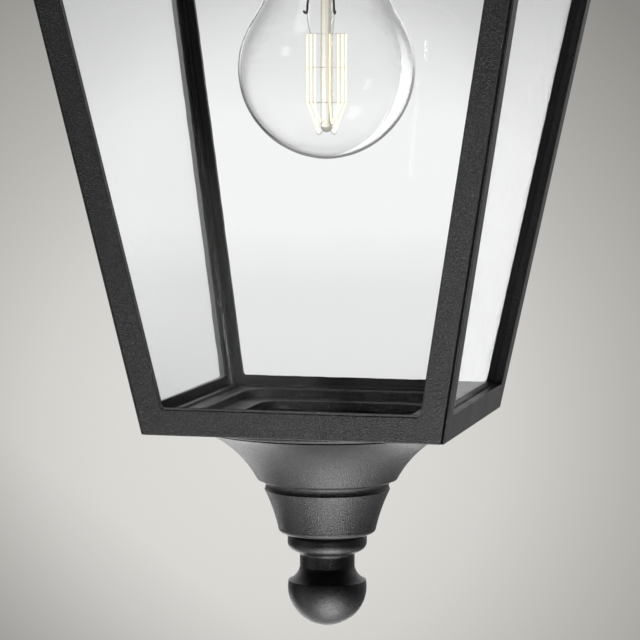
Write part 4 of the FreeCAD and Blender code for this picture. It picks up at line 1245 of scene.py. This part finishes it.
    def pale(self, sheet: Sheet, way: Socket, glow: Socket) -> Socket:
        """Pale light seen straight through the glass, brightest through the right pane.

        Args:
            sheet: Tree that it goes into.
            way: Direction's socket.
            glow: Colour that it fades to.

        Returns:
            The colour's socket.
        """
        axes = sheet.add("ShaderNodeSeparateXYZ", {0: way}).outputs
        off = sheet.spread(self.angle_off(sheet, way, self.pale_at), self.pale_reach)
        dims = [sheet.spread(axes["Z"], dim) for dim in self.pale_dims]
        pale = sheet.add("ShaderNodeVectorMath", {
            0: self.ramp(sheet, off, self.pale_stops), "Scale": sheet.product(*dims, self.pale_peak)},
            operation="SCALE").outputs[0]
        lean = sheet.math("MULTIPLY_ADD", axes["Z"], self.right_lean, axes["X"])
        right = sheet.product(sheet.spread(lean, self.right_edge),
                              sheet.spread(axes["Z"], self.right_fade))
        pale = sheet.blend(right, pale, grey(self.right_level))
        fade = sheet.spread(self.angle_off(sheet, way, self.glow_at), self.pale_fade)
        return sheet.blend(fade, pale, glow)

    def angle_off(self, sheet: Sheet, way: Socket, spot: Pair) -> Socket:
        """Angle between a direction and the one that a spot of the photograph looks in."""
        along = sheet.along(way, self.view.toward(spot))
        return sheet.math("ARCCOSINE", sheet.math("MINIMUM", along, 1.0))

    @staticmethod
    def ramp(sheet: Sheet, value: Socket, stops: Sequence[Stop]) -> Socket:
        """Colour ramp with its own stops.

        Args:
            sheet: Tree that it goes into.
            value: Socket to read, from 0 to 1.
            stops: Place and colour of each stop, in order.

        Returns:
            The colour's socket.
        """
        node = sheet.add("ShaderNodeValToRGB", {0: value})
        elements = node.color_ramp.elements
        elements.remove(elements[0])
        elements[0].position, elements[0].color = stops[0]
        for position, colour in stops[1:]:
            elements.new(position).color = colour
        return node.outputs[0]


@dataclass
class Studio:
    """Camera, pale floor, backdrop, and soft lamps mostly from below, with one above the roof."""

    view: View = View()
    floor: Floor = Floor()
    lamps: tuple[Lamp, ...] = (
        Lamp("below_front", (0.09, -0.31, -0.72), (0.0, AXIS_Y, -0.35), (0.22, 0.22), 2.1),
        Lamp("low_front", (0.1, -0.68, -0.95), (0.0, AXIS_Y, -0.3), (0.4, 0.4), 1.25),
        Lamp("low_left", (-0.7, -0.5, -0.72), (0.0, AXIS_Y, -0.33), (0.4, 0.4), 0.9),
        Lamp("low_behind", (-0.25, 0.45, -0.72), (0.0, AXIS_Y, -0.33), (0.6, 0.3), 1.4),
        Lamp("inside", (0.45, -0.9, 0.05), (-0.055, -0.09, -0.3), (0.08, 0.08), 0.02, math.radians(7.0)),
        Lamp("above", (-0.3, -0.2, 0.95), (0.0, AXIS_Y, 0.0), (0.5, 0.5), 6.0))

    def build(self) -> None:
        """Builds the whole studio."""
        self.view.build()
        self.floor.build()
        for lamp in self.lamps:
            lamp.build()
        Backdrop(self.view).build()


def dress_frame(frame: dict, finishes: Finishes) -> None:
    """Gives every CAD node the finish of its slot, or its own.

    Args:
        frame: The loaded frame.
        finishes: The built finishes.
    """
    for part in frame["record"]["subparts"]:
        node = frame["nodes"][part["node"]]
        finishes.dress(node, Slot(part["material_slot"]))
        LOG.info("node %s in %s", part["node"], part["material_slot"])


def main() -> None:
    """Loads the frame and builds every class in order."""
    logging.basicConfig(level=logging.INFO, format="%(message)s")
    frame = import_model()
    finishes = Finishes()
    finishes.build()
    dress_frame(frame, finishes)
    Bulb().build(finishes)
    Fasteners().build(finishes)
    Studio().build()


if __name__ == "__main__":
    main()
